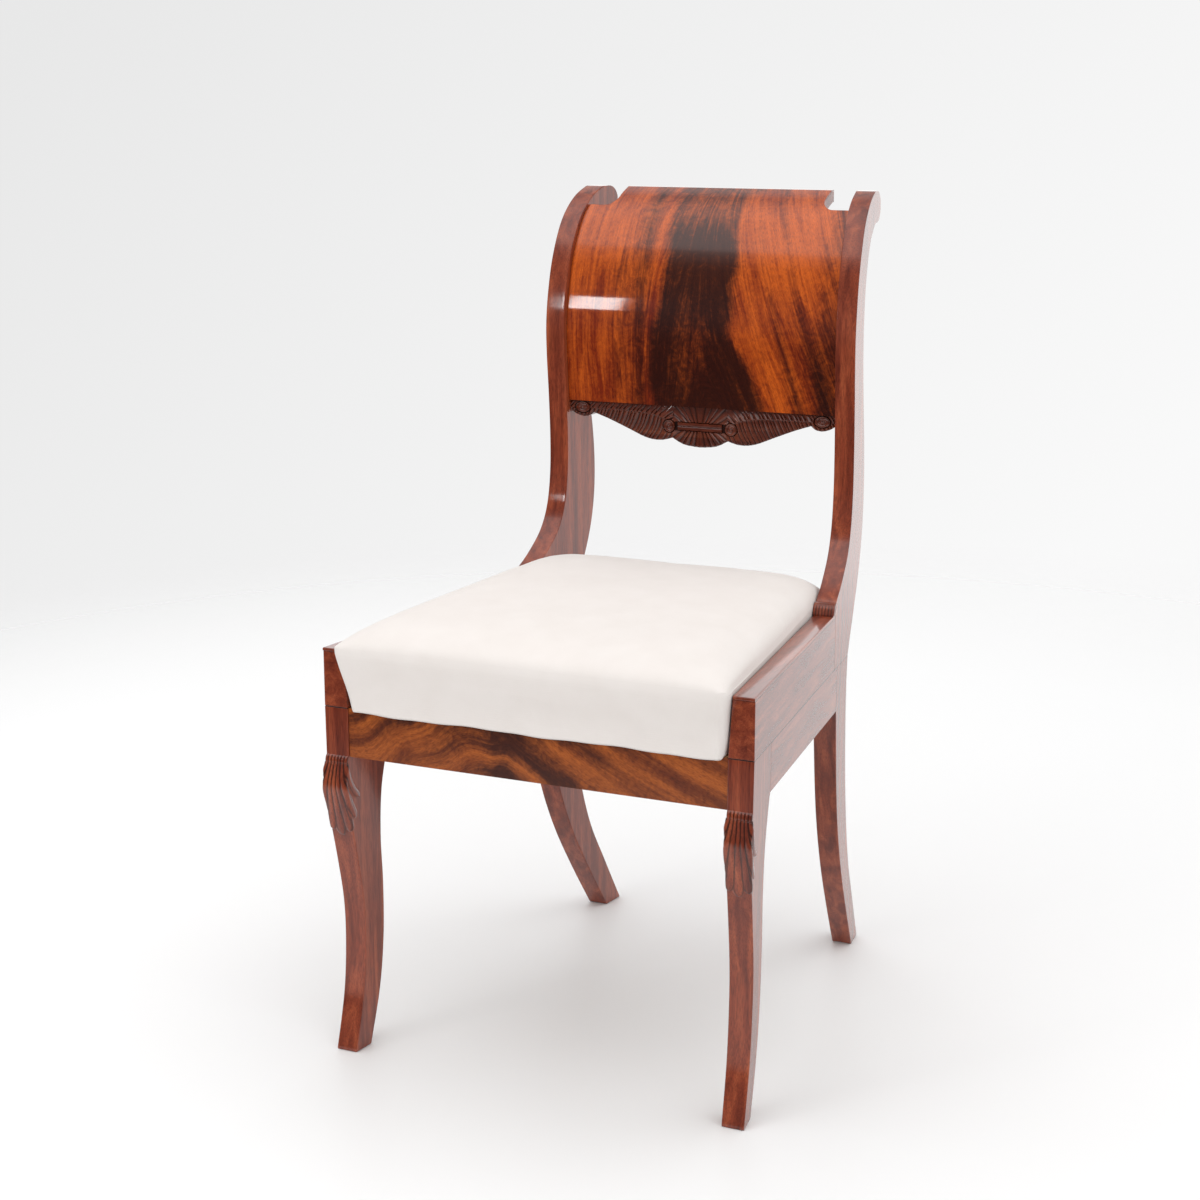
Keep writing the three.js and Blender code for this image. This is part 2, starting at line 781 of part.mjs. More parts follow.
/** A closed body from a stack of rings, with a fan of triangles closing each end. */
function ringSolid(rings) {
  const places = rings.flat();
  const count = rings[0].length;
  const indices = [];
  for (let r = 0; r < rings.length - 1; r += 1) {
    for (let k = 0; k < count; k += 1) {
      const a = r * count + k;
      const b = r * count + ((k + 1) % count);
      indices.push(a, b, b + count, a, b + count, a + count);
    }
  }
  for (const [r, turned] of [[0, true], [rings.length - 1, false]]) {
    const middle = places.length;
    places.push(ringCentre(rings[r]));
    for (let k = 0; k < count; k += 1) {
      const a = r * count + k;
      const b = r * count + ((k + 1) % count);
      indices.push(...(turned ? [b, a, middle] : [a, b, middle]));
    }
  }
  const geometry = new THREE.BufferGeometry().setFromPoints(places);
  geometry.setIndex(indices);
  return solidOf(geometry, (x, y, z) => [x, y, z]);
}

// For each ring of the seat's side: its height, how far it is drawn in and how far its front swells out.
const seatSideShares = [
  [0, 1, 0.1],
  [0.15, 0.4, 0.35],
  [0.4, 0, 0.65],
  [0.7, 0, 1],
  [0.88, 0.6, 0.8],
  [1, 3, 0.2],
];

/** The rings of the seat's side from the hem to the rim, all moved in by the same distance. */
function seatSideRings(inward) {
  return seatSideShares.map(([heightShare, drawnInShare, swellShare]) => {
    const height = Math.max(seatBottom + heightShare * rimHeight, seatBottom + inward);
    const drawnIn = coverDrawIn * drawnInShare;
    return ringPoints({
      sideInset: upperInnerInset(Math.min(height, capTop)) + seatClearance + drawnIn + inward,
      front: frontRailSetback - frontSwell * swellShare + inward,
      back: wellBack - drawnIn - inward,
      height,
      cornerRadius: coverCornerRadius,
    });
  });
}

const domeShares = [0.95, 0.86, 0.72, 0.52, 0.28];

/** The seat's surface, from its lowest ring to the crown: its rim falls to the front and bows up at the rear. */
function seatRings(inward) {
  const side = seatSideRings(inward);
  const rim = side[side.length - 1];
  rim.forEach((place) => {
    place.z = seatBottom + rimHeight - inward;
  });
  const rings = [...side, ...domeRings(rim, crownHeight, domeShares)];
  rings.flat().forEach((place) => {
    const heightShare = Math.min((place.z - seatBottom) / rimHeight, 1);
    const depthShare = place.y / wellBack;
    const widthShare = place.x / halfWidthAt(place.y);
    const bow = rearBow * depthShare ** 2 * (1 - widthShare ** 2);
    place.z += heightShare ** 2 * (bow - rimFall * (1 - depthShare));
  });
  return rings;
}

function coverSolid() {
  const outer = seatRings(0);
  const inner = seatRings(coverThickness);
  const hemInset = legThickness + memberInset + coverHem;
  const hem = (height) => ringPoints({
    sideInset: hemInset,
    front: memberFront + coverHem,
    back: memberBack - coverHem,
    height,
    cornerRadius: coverCornerRadius,
  });
  const shell = ringSolid([hem(seatBottom), ...outer]);
  const hollow = ringSolid([hem(seatBottom - overrun), hem(seatBottom + coverThickness), ...inner]);
  return shell.subtract(hollow);
}

addPiece("muslin_cover", coverSolid(), muslin);

const hessianBottom = webBase + weaveLift + strapThickness / 2 + glueGap;
const hessianTop = hessianBottom + hessianThickness;

const stuffingInset = coverThickness + glueGap * 2;

/** The part of the seat's inside between two heights. */
function seatInside(inward, height, top) {
  const slab = levelSolid(rectangle(-frontWidth, frontWidth, -frameDepth, frameDepth), height, top);
  return ringSolid(seatRings(inward)).intersect(slab);
}

// The seat frame's outer corners are rounded to fit the cover.

/** A seat frame member across the chair, between its two side members. */
function seatCrossMember(front) {
  const outline = rectangle(front, front + seatMemberWidth, memberBottom, memberTop);
  return crossSolid(outline, legThickness + memberInset + seatMemberWidth + glueGap);
}

addPiece("seat_frame_front", seatCrossMember(memberFront), beech);
addPiece("seat_frame_rear", seatCrossMember(memberBack - seatMemberWidth), beech);
for (const [name, side] of sides) {
  const outer = legThickness + memberInset;
  const outline = rectangle(memberFront, memberBack, memberBottom, memberTop);
  const member = sideSolid(side, outline, outer, outer + seatMemberWidth);
  addPiece(`seat_frame_${name}`, member.intersect(seatInside(stuffingInset, seatBottom, capTop)), beech);
}

addPiece("hessian", seatInside(stuffingInset + coverDrawIn, hessianBottom, hessianTop), jute);
addPiece("seat_stuffing", seatInside(stuffingInset, hessianTop + glueGap, overallHeight), horsehair);

// The edge roll is sewn along the front of the seat frame, under the hessian, and fills out the cover there.
const inFront = rectangle(-frontWidth, frontWidth, -frameDepth, memberFront - glueGap);
const edgeRoll = seatInside(stuffingInset, seatBottom, hessianBottom - glueGap)
  .intersect(levelSolid(inFront, seatBottom, hessianBottom));
addPiece("edge_roll", edgeRoll, horsehair);

// The chair stands on z = 0, with the middle of its outline in plan at the origin.
const bounds = new THREE.Box3().setFromObject(chair);
chair.position.set(-(bounds.min.x + bounds.max.x) / 2, -(bounds.min.y + bounds.max.y) / 2, -bounds.min.z);

export default chair;
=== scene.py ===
# A mahogany klismos side chair with a veneered scroll-over crest and a loose seat in white muslin.
# Metres, +Z up, the front faces -Y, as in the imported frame.
import math
import bmesh
import bpy
import numpy as np
from mathutils import Matrix, Vector
from mathutils.kdtree import KDTree


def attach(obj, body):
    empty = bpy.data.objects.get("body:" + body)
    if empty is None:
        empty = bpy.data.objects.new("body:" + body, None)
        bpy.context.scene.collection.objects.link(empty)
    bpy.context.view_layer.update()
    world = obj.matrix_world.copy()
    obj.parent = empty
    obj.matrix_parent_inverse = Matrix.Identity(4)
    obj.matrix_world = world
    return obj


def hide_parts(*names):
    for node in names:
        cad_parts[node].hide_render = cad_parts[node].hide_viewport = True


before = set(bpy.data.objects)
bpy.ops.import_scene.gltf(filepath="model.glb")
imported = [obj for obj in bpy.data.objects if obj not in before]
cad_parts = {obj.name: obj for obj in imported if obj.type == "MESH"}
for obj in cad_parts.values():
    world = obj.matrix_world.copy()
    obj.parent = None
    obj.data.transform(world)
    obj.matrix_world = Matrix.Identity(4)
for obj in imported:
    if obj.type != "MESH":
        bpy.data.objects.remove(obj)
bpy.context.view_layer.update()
scene = bpy.context.scene
MM = 0.001
LEFT, RIGHT = -1, 1
SIDES = (("left", LEFT), ("right", RIGHT))


# The room: a pale seamless studio. The world shows the camera a pale backdrop, lights matt surfaces more
# from the right, and gives the polish a dark front and a pale rear to mirror. Of the three soft boxes
# only the small window shows in the polish. The floor is a painted disc whose rim fades away.
def linear(hex_colour):
    """A colour written as sRGB hex, as the linear colour that a socket takes."""
    channels = [int(hex_colour[i:i + 2], 16) / 255 for i in (1, 3, 5)]
    return [c / 12.92 if c <= 0.04045 else ((c + 0.055) / 1.055) ** 2.4 for c in channels] + [1.0]


def add_node(tree, kind, inputs=None, **settings):
    """Adds one node with its settings. An input is given by name or number, as a value or as a link."""
    node = tree.nodes.new(kind)
    for name, value in settings.items():
        setattr(node, name, value)
    for name, value in (inputs or {}).items():
        if isinstance(value, bpy.types.NodeSocket):
            tree.links.new(value, node.inputs[name])
        else:
            node.inputs[name].default_value = value
    return node


def new_material(name):
    """A material with an empty node tree, and the tree."""
    material = bpy.data.materials.new(name)
    material.use_nodes = True
    material.node_tree.nodes.clear()
    return material, material.node_tree


def linked(name, data):
    """A new object in the scene."""
    made = bpy.data.objects.new(name, data)
    scene.collection.objects.link(made)
    return made


camera_place = Vector((0.9481, -2.1700, 1.0058))
camera_yaw, camera_pitch = math.radians(24.6), math.radians(13.0)
sensor_width, photo_size, focal_pixels = 36.0, 1200, 2233.9

camera_data = bpy.data.cameras.new("camera")
camera_data.sensor_width = sensor_width
camera_data.lens = sensor_width * focal_pixels / photo_size
camera = linked("camera", camera_data)
backwards = Vector((
    math.sin(camera_yaw) * math.cos(camera_pitch),
    -math.cos(camera_yaw) * math.cos(camera_pitch),
    math.sin(camera_pitch)))
rightwards = Vector((math.cos(camera_yaw), math.sin(camera_yaw), 0))
turn = Matrix((rightwards, backwards.cross(rightwards), backwards)).transposed()
camera.matrix_world = Matrix.Translation(camera_place) @ turn.to_4x4()
scene.camera = camera
scene.view_settings.view_transform = "Standard"

# What the polish mirrors, by the height of the direction, from 0 straight down to 1 straight up: the
# light in front of the chair, then behind it.
front_stops = ((0.4, 0.05), (0.55, 0.16), (0.72, 0.17), (0.765, 0.38), (0.8, 0.9), (0.83, 1.75), (1.0, 1.6))
rear_stops = ((0.4, 1.35), (0.62, 1.45), (0.75, 0.9), (0.88, 0.6), (1.0, 0.8))
brightest, left_light, right_light, dark_backdrop, light_backdrop = 2.0, 0.66, 1.0, 0.81, 0.95
backdrop_slope = (0.68, 0.31, -0.7)

world = bpy.data.worlds.new("studio")
scene.world = world
world.use_nodes = True
tree = world.node_tree
tree.nodes.clear()
direction = add_node(tree, "ShaderNodeTexCoord").outputs["Generated"]
axes = add_node(tree, "ShaderNodeSeparateXYZ", {"Vector": direction})
height = add_node(tree, "ShaderNodeMapRange", {
    "Value": axes.outputs["Z"], "From Min": -1.0, "From Max": 1.0})
profiles = []
for stops in (front_stops, rear_stops):
    curve = add_node(tree, "ShaderNodeFloatCurve", {"Value": height.outputs["Result"]})
    line = curve.mapping.curves[0]
    line.points[0].location = (0, stops[0][1] / brightest)
    line.points[1].location = (1, stops[-1][1] / brightest)
    for place, light in stops[:-1]:
        line.points.new(place, light / brightest)
    curve.mapping.update()
    profiles.append(curve.outputs["Value"])
behind = add_node(tree, "ShaderNodeMapRange", {
    "Value": axes.outputs["Y"], "From Min": -0.15, "From Max": 0.45}, interpolation_type="SMOOTHSTEP")
profile = add_node(tree, "ShaderNodeMix", {
    0: behind.outputs["Result"], 2: profiles[0], 3: profiles[1]}, data_type="FLOAT")
mirrored = add_node(tree, "ShaderNodeMath", {0: profile.outputs[0], 1: brightest}, operation="MULTIPLY")
ambient = add_node(tree, "ShaderNodeMapRange", {
    "Value": axes.outputs["X"], "From Min": -0.1, "From Max": 0.7, "To Min": left_light,
    "To Max": right_light}, interpolation_type="SMOOTHSTEP")
slope = add_node(tree, "ShaderNodeVectorMath", {0: direction, 1: backdrop_slope}, operation="DOT_PRODUCT")
backdrop = add_node(tree, "ShaderNodeMapRange", {
    "Value": slope.outputs["Value"], "From Min": -0.19, "From Max": 0.3, "To Min": dark_backdrop,
    "To Max": light_backdrop})
ray = add_node(tree, "ShaderNodeLightPath")
room = add_node(tree, "ShaderNodeMix", {
    0: ray.outputs["Is Glossy Ray"], 2: ambient.outputs["Result"], 3: mirrored.outputs[0]}, data_type="FLOAT")
power = add_node(tree, "ShaderNodeMix", {
    0: ray.outputs["Is Camera Ray"], 2: room.outputs[0], 3: backdrop.outputs["Result"]}, data_type="FLOAT")
glow = add_node(tree, "ShaderNodeBackground", {"Color": linear("#FFFFFF"), "Strength": power.outputs[0]})
add_node(tree, "ShaderNodeOutputWorld", {"Surface": glow.outputs[0]})

floor_radius, floor_clear, floor_corners, floor_middle = 3.2, 0.4 * MM, 96, (-0.1, 0.5, 0)
floor_edge = [
    (floor_radius * math.cos(a), floor_radius * math.sin(a), -floor_clear)
    for a in np.linspace(0, 2 * math.pi, floor_corners, endpoint=False)]
floor_mesh = bpy.data.meshes.new("floor")
floor_mesh.from_pydata(floor_edge, [], [range(floor_corners)])
floor = linked("floor", floor_mesh)
paint, tree = new_material("painted_floor")
place = add_node(tree, "ShaderNodeTexCoord").outputs["Object"]
reach = add_node(tree, "ShaderNodeVectorMath", {0: place, 1: floor_middle}, operation="DISTANCE")
fade = add_node(tree, "ShaderNodeMapRange", {
    "Value": reach.outputs["Value"], "From Min": 1.0, "From Max": 2.2}, interpolation_type="SMOOTHSTEP")
coat = add_node(tree, "ShaderNodeBsdfPrincipled", {
    "Base Color": linear("#F1F1F1"), "Roughness": 0.45, "Specular IOR Level": 0.2})
clear = add_node(tree, "ShaderNodeBsdfTransparent")
both = add_node(tree, "ShaderNodeMixShader", {
    0: fade.outputs["Result"], 1: coat.outputs[0], 2: clear.outputs[0]})
add_node(tree, "ShaderNodeOutputMaterial", {"Surface": both.outputs[0]})
floor_mesh.materials.append(paint)

# Each soft box: where it hangs, what it is aimed at, its width and height, its power in watts, and
# whether the polish mirrors it.
soft_boxes = {
    "ceiling": ((0, -0.4, 3.4), (0, -0.399, 0), 6.0, 5.6, 84, False),
    "fill": ((-1.2, -3.0, 1.6), (0, 0, 0.5), 2.2, 2.2, 20, False),
    "window": ((-1.235, -2.2, 1.22), (-0.12, 0.17, 0.76), 0.115, 0.26, 1.6, True),
}
for name, (spot, target, width, height, watts, in_polish) in soft_boxes.items():
    lamp_data = bpy.data.lights.new(name, "AREA")
    lamp_data.shape = "RECTANGLE"
    lamp_data.size, lamp_data.size_y = width, height
    lamp_data.energy = watts
    lamp = linked(name, lamp_data)
    lamp.location = spot
    lamp.rotation_euler = (Vector(target) - Vector(spot)).to_track_quat("-Z", "Y").to_euler()
    lamp.visible_glossy = in_polish


# Front legs: each is sawn from a mahogany plank, one block with its knee and sabre foot. Seven lobes of
# a leaf are carved over the knee, gathered under a band of beads, and run down its front and both sides.
# The plank's broad faces lie in the side frames, which draw together towards the back.
front, front_half_width = -265.5 * MM, 237 * MM
frame_depth, frame_narrowing = 427 * MM, 99 * MM
side_taper = frame_narrowing / 2 / frame_depth
leg_height, joint_height, knee_depth = 328 * MM, 380 * MM, 69 * MM
leg_thickness, foot_thickness, foot_inset = 27 * MM, 24 * MM, 4.5 * MM
arris, glued_arris, easing_gap = 1.1 * MM, 0.15 * MM, 2 * MM
weld_distance, shortest_rung = MM / 500, MM / 10
side_crowding, round_share, joint_edge_share = 1.4, 0.3, 0.7


def half_width(y):
    """How far the side plane stands from the middle."""
    return front_half_width - side_taper * (y - front)


def leg_outer_inset(z):
    return foot_inset * (1 - z / joint_height)


def leg_inner_inset(z):
    return leg_thickness + (foot_inset + foot_thickness - leg_thickness) * (1 - z / joint_height)


def curve_through(shares, origin, width, height, steps):
    """An even Catmull-Rom curve through shares of a width and a height: rows of two coordinates."""
    points = np.array(shares, float) * (width, height) + origin
    spans = len(points) - 1
    t = np.linspace(0, spans, steps + 1)
    i = np.minimum(t.astype(int), spans - 1)
    w = (t - i)[:, None]
    p0, p1 = points[np.maximum(i - 1, 0)], points[i]
    p2, p3 = points[i + 1], points[np.minimum(i + 2, spans)]
    v0, v1 = (p2 - p0) / 2, (p3 - p1) / 2
    return (2 * p1 - 2 * p2 + v0 + v1) * w ** 3 + (3 * p2 - 3 * p1 - 2 * v0 - v1) * w ** 2 + v0 * w + p1


def section(length, thickness, radii, shrink, steps):
    """A rectangle with round corners, gone round once, starting at the outer corner of its front end.

    steps are the points over the front end, each side, the rear end and each corner. Gives the place
    along and across, the outward direction, and the way round from the middle of the front end.
    """
    over, along, rear, corner = steps
    most = min(length, thickness) / 2 - shrink
    rf, rb = min(radii[0], most), min(radii[1], most)
    front_a, back_a, low_b, high_b = shrink, length - shrink, shrink, thickness - shrink
    share = [np.linspace(0, 1, n, endpoint=False) for n in steps]
    arc = share[3] * math.pi / 2
    sine, cosine = np.sin(arc), np.cos(arc)
    side_run = back_a - rb - front_a - rf
    a = np.concatenate([
        np.full(over, front_a), front_a + rf * (1 - cosine),
        front_a + rf + side_run * share[1] ** side_crowding,
        back_a - rb * (1 - sine), np.full(rear, back_a), back_a - rb * (1 - cosine),
        front_a + rf + side_run * (1 - share[1]) ** side_crowding, front_a + rf * (1 - sine)])
    b = np.concatenate([
        low_b + rf + (high_b - low_b - 2 * rf) * share[0], high_b - rf * (1 - sine), np.full(along, high_b),
        high_b - rb * (1 - cosine), high_b - rb - (high_b - low_b - 2 * rb) * share[2],
        low_b + rb * (1 - sine), np.full(along, low_b), low_b + rf * (1 - cosine)])
    zero, one = np.zeros, np.ones
    out_a = np.concatenate([-one(over), -cosine, zero(along), sine, one(rear), cosine, zero(along), -sine])
    out_b = np.concatenate([zero(over), sine, one(along), cosine, zero(rear), -sine, -one(along), -cosine])
    strides = np.hypot(np.diff(a, append=a[0]), np.diff(b, append=b[0]))
    around = np.concatenate([[0], np.cumsum(strides[:-1])]) - (high_b - low_b - 2 * rf) / 2
    around = np.where(around > strides.sum() / 2, around - strides.sum(), around)
    return a, b, out_a, out_b, around


def set_attribute(mesh, name, values):
    """Gives each vertex a number that the material reads."""
    mesh.attributes.new(name, "FLOAT", "POINT").data.foreach_set("value", values.astype(np.float32))


def mesh_of_rings(name, rings, hollows=None):
    """A closed, smooth mesh from a stack of rings of equal length, with a flat face at each end.

    hollows says how deep in a groove each point lies, from 0 to 1, where the material darkens it:
    painted shade, with old polish, in a carving's grooves, and dirt along a joint.
    """
    count, size = len(rings), len(rings[0])
    k = np.arange(size)
    faces = []
    for r in range(count - 1):
        low, high = r * size, (r + 1) * size
        faces += np.stack([low + k, low + (k + 1) % size, high + (k + 1) % size, high + k], 1).tolist()
    faces += [k[::-1].tolist(), ((count - 1) * size + k).tolist()]
    mesh = bpy.data.meshes.new(name)
    mesh.from_pydata(np.concatenate(rings).tolist(), [], faces)
    if hollows is not None:
        set_attribute(mesh, "hollow", np.concatenate(hollows))
    work = bmesh.new()
    work.from_mesh(mesh)
    bmesh.ops.remove_doubles(work, verts=work.verts, dist=weld_distance)
    bmesh.ops.recalc_face_normals(work, faces=work.faces)
    work.to_mesh(mesh)
    work.free()
    mesh.shade_smooth()
    return mesh


def at_height(size, z):
    """A size that is a plain number, or else a function of the height."""
    return size(z) if callable(size) else size


def side_member(
        name, side, rungs, insets, steps, radii=(arris, arris), ends=(arris, arris), relief=None, joints=()):
    """The mesh of a side frame member: a round-cornered section carried along its rungs.

    A rung joins a place on the front edge to one on the rear edge, each as (y, z). insets are the outer
    and inner one and radii those of the front and rear corners, each at a height, and ends the rounding
    of the two ends. relief gives the carving's lift and the painted shade in its grooves, by the way
    round the section and the height. joints names the edges (front, rear, start, end) along which dirt
    darkens a joint.
    """
    rungs = np.asarray(rungs, float)
    last = len(rungs) - 1
    rings, hollows = [], []
    for i, rung in enumerate(rungs):
        stations = [(0, 0)]
        if i == 0:
            stations = [(0, ends[0]), (ends[0] * round_share, ends[0] * round_share), (ends[0], 0)]
        if i == last:
            stations = [(-ends[1], 0), (-ends[1] * round_share, ends[1] * round_share), (0, ends[1])]
        run = rungs[min(i + 1, last)].mean(0) - rungs[max(i - 1, 0)].mean(0)
        run /= np.linalg.norm(run)
        for shift, shrink in stations:
            start, end = rung + run * shift
            length = max(np.linalg.norm(end - start), shortest_rung)
            outer, inner = (at_height(inset, (start[1] + end[1]) / 2) for inset in insets)
            corner_radii = [at_height(radius, start[1]) for radius in radii]
            shrink = min(shrink, length / 3)
            a, b, out_a, out_b, around = section(length, inner - outer, corner_radii, shrink, steps)
            lift, hollow = relief(around, start[1]) if relief else (around * 0, around * 0)
            near_joint = np.zeros(len(a), bool)
            if "front" in joints:
                near_joint |= a < corner_radii[0] * joint_edge_share
            if "rear" in joints:
                near_joint |= a > length - corner_radii[1] * joint_edge_share
            if shrink and ("start" in joints and i == 0 or "end" in joints and i == last):
                near_joint[:] = True
            hollow = np.maximum(hollow, near_joint)
            a, b = a + out_a * lift, b + out_b * lift
            y, z = start[:, None] + (end - start)[:, None] * a / length
            outer_here, inner_here = (at_height(inset, z) for inset in insets)
            inset_here = outer_here + (inner_here - outer_here) * b / (inner - outer)
            rings.append(np.stack([side * (half_width(y) - inset_here), y, z], 1))
            hollows.append(hollow)
    return mesh_of_rings(name, rings, hollows)


def add_piece(name, mesh, material, body, slot, *nodes):
    """Shows a finished mesh as a piece that rides on a body, and stands for CAD nodes if any are given."""
    piece = linked(name, mesh)
    mesh.materials.clear()
    mesh.materials.append(material)
    even = piece.modifiers.new("even_shading", "WEIGHTED_NORMAL")
    even.keep_sharp = True
    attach(piece, body)
    if nodes:
        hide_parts(*nodes)
    return piece


def add_side_members(name, node, material, *shape, **details):
    """Adds a member of the left and of the right side frame. Each stands for its own CAD node."""
    for side_name, side in SIDES:
        mesh = side_member(f"{name}_{side_name}", side, *shape, **details)
        add_piece(mesh.name, mesh, material, "frame", "mahogany", f"{node}_{side_name}")


def grain_pattern(tree, place, scale, **details):
    """Noise that the three scales draw out along the grain."""
    drawn = add_node(tree, "ShaderNodeMapping", {"Vector": place, "Scale": scale}).outputs[0]
    noise = add_node(tree, "ShaderNodeTexNoise", {"Vector": drawn, "Scale": 1.0, **details})
    return noise.outputs["Fac"]


def set_ramp(ramp, *stops):
    """Gives a colour ramp its stops, the two outer ones first, each a place and an sRGB hex colour."""
    for k, (place, colour) in enumerate(stops):
        stop = ramp.elements[k] if k < 2 else ramp.elements.new(place)
        stop.position, stop.color = place, linear(colour)


def with_pores(tree, colour, pattern, low, high, least):
    """A colour that falls to its least share where a fine pattern lies under low, and is full over high."""
    dark = add_node(tree, "ShaderNodeMapRange", {
        "Value": pattern, "From Min": low, "From Max": high, "To Min": least, "To Max": 1.0})
    porous = add_node(tree, "ShaderNodeMix", {
        0: 1.0, 6: colour, 7: dark.outputs["Result"]}, data_type="RGBA", blend_type="MULTIPLY")
    return porous.outputs[2]


french_polish = {
    "Roughness": 0.4, "IOR": 1.5, "Specular IOR Level": 0.1, "Coat Weight": 1.0, "Coat IOR": 1.5}


def polished_mahogany(name, turn):
    """French-polished mahogany whose grain runs along z, or along another axis once turned.

    Short dark pores 0.5 mm wide, a quiet ribbon 12 mm wide, and a thin hard polish that is a little
    uneven, so that reflections stay sharp but waver.
    """
    material, tree = new_material(name)
    place = add_node(tree, "ShaderNodeTexCoord").outputs["Object"]
    upright = add_node(tree, "ShaderNodeMapping", {"Vector": place, "Rotation": turn}).outputs[0]
    ribbon = grain_pattern(tree, upright, (85, 85, 5), Detail=4.0, Roughness=0.55, Distortion=0.6)
    pores = grain_pattern(tree, upright, (1500, 1500, 70), Detail=2.0, Roughness=0.6)
    swell = grain_pattern(tree, upright, (40, 40, 14), Detail=1.0)
    tone = add_node(tree, "ShaderNodeValToRGB", {"Fac": ribbon})
    set_ramp(tone.color_ramp, (0.28, "#5E2113"), (0.74, "#A65232"), (0.5, "#843922"))
    porous = with_pores(tree, tone.outputs["Color"], pores, 0.38, 0.56, 0.62)
    hollow = add_node(tree, "ShaderNodeAttribute", attribute_name="hollow").outputs["Fac"]
    # hollow darkens the wood towards near black: painted shade, with old polish, in carved grooves, and dirt
    # along joints.
    colour = add_node(tree, "ShaderNodeMix", {0: hollow, 6: porous, 7: linear("#120503")}, data_type="RGBA")
    waver = add_node(tree, "ShaderNodeBump", {"Height": swell, "Strength": 0.045, "Distance": 2 * MM})
    fine = add_node(tree, "ShaderNodeBump", {
        "Height": pores, "Strength": 0.05, "Distance": 0.1 * MM, "Normal": waver.outputs[0]})
    surface = add_node(tree, "ShaderNodeBsdfPrincipled", {
        **french_polish, "Base Color": colour.outputs[2], "Normal": fine.outputs[0],
        "Coat Roughness": 0.09, "Coat Normal": waver.outputs[0]})
    add_node(tree, "ShaderNodeOutputMaterial", {"Surface": surface.outputs[0]})
    return material


mahogany_up = polished_mahogany("french_polished_mahogany_upright", (0, 0, 0))
mahogany_back = polished_mahogany("french_polished_mahogany_front_to_back", (math.pi / 2, 0, 0))
mahogany_across = polished_mahogany("french_polished_mahogany_across", (0, math.pi / 2, 0))

# The leaf on the knee: for the middle lobe and each pair beside it, how far round its tip lies, the
# height of the tip and half the lobe's width there. All lobes start under the beads, an even pitch apart.
leaf_top, bead_bottom, bead_top = 321 * MM, 320.5 * MM, 328.5 * MM
lobe_pitch, lobe_start_width, lobe_lift, bead_lift = 3.7 * MM, 1.75 * MM, 2.3 * MM, 2.4 * MM
lobe_tips = (
    (0, 241 * MM, 5.4 * MM), (9.9 * MM, 246 * MM, 4.6 * MM),
    (19.5 * MM, 260 * MM, 4.2 * MM), (30 * MM, 281 * MM, 3.8 * MM))
pairs, tip_share, groove_width, tip_dark = 3, 0.84, 0.75 * MM, 0.35
spread_power, widening_power, narrowest_lobe = 1.35, 0.8, MM / 100
lobe_end_share, lobe_swell_run, lobe_core_share = 0.75, 1.3, 0.8
ground_share, ground_reach, ground_run, ground_power = 0.72, 1.7, 0.7, 0.7
bead_end_power, bead_groove_power = 0.35, 3


def knee_relief(around, z):
    """How far the carving stands out at a way round the leg and at a height, and the painted shade in its
    grooves.
    """
    lift, hollow = np.zeros_like(around), np.zeros_like(around)
    for k in range(-pairs, pairs + 1):
        tip, tip_height, tip_width = lobe_tips[abs(k)]
        start = k * lobe_pitch
        down = (leaf_top - z) / (leaf_top - tip_height)
        if 0 <= down <= 1:
            middle = start + (math.copysign(tip, k) - start) * down ** spread_power
            width = lobe_start_width + (tip_width - lobe_start_width) * down ** widening_power
            if down > tip_share:
                width *= math.sqrt(max(1 - ((down - tip_share) / (1 - tip_share)) ** 2, 0))
            across = np.abs(around - middle) / max(width, narrowest_lobe)
            swell = math.sin(math.pi * min(down * lobe_swell_run, 1))
            height = lobe_lift * (lobe_end_share + (1 - lobe_end_share) * swell)
            ground = np.clip((ground_reach - across) / ground_run, 0, 1) ** ground_power
            lift = np.maximum(lift, height * np.clip(1 - across ** 2, 0, None) ** 0.5)
            lift = np.maximum(lift, ground_share * height * ground)
            # Painted shade along each lobe's edge, fading towards its tip, and between the beads.
            edge = np.exp(-((np.abs(around - middle) - width) / groove_width) ** 2)
            hollow = np.maximum(hollow * (across > lobe_core_share), edge * (1 - tip_dark * down))
        rise = (z - bead_bottom) / (bead_top - bead_bottom)
        if 0 <= rise <= 1:
            across = np.clip(np.abs(around - start) / (lobe_pitch / 2), 0, 1)
            end = max(math.sin(math.pi * rise), 0)
            beside = np.abs(around - start) <= lobe_pitch / 2
            lift = np.where(beside, bead_lift * (1 - across ** 2) ** 0.5 * end ** bead_end_power, lift)
            hollow = np.where(beside, across ** bead_groove_power, hollow)
    return lift, hollow


curve_steps = 200
front_leg_front = curve_through(
    [(0, 1), (-0.085, 0.915), (-0.055, 0.86), (0.02, 0.785), (0.165, 0.64), (0.28, 0.49), (0.285, 0.34),
     (0.2, 0.18), (-0.02, 0)], (front, 0), knee_depth, leg_height, curve_steps)[::-1]
front_leg_back = curve_through(
    [(0.365, 0), (0.63, 0.18), (0.755, 0.35), (0.78, 0.53), (0.75, 0.7), (0.81, 0.86), (1, 1)],
    (front, 0), knee_depth, leg_height, curve_steps)
knee_low, knee_high = 237 * MM, 332 * MM
foot_rungs, knee_rungs, block_rungs = 60, 120, 9
knee_steps = (44, 54, 8, 5)
leg_insets = (leg_outer_inset, leg_inner_inset)


def level_rungs(front_edge, back_edge, heights):
    """Level rungs between two rising edges, at the heights given."""
    return [((np.interp(z, front_edge[:, 1], front_edge[:, 0]), z),
             (np.interp(z, back_edge[:, 1], back_edge[:, 0]), z)) for z in heights]


def glued_corner(z):
    """A leg's corner beside the side rail: sharp where the two are glued, and eased below."""
    return arris if z < leg_height - easing_gap else glued_arris


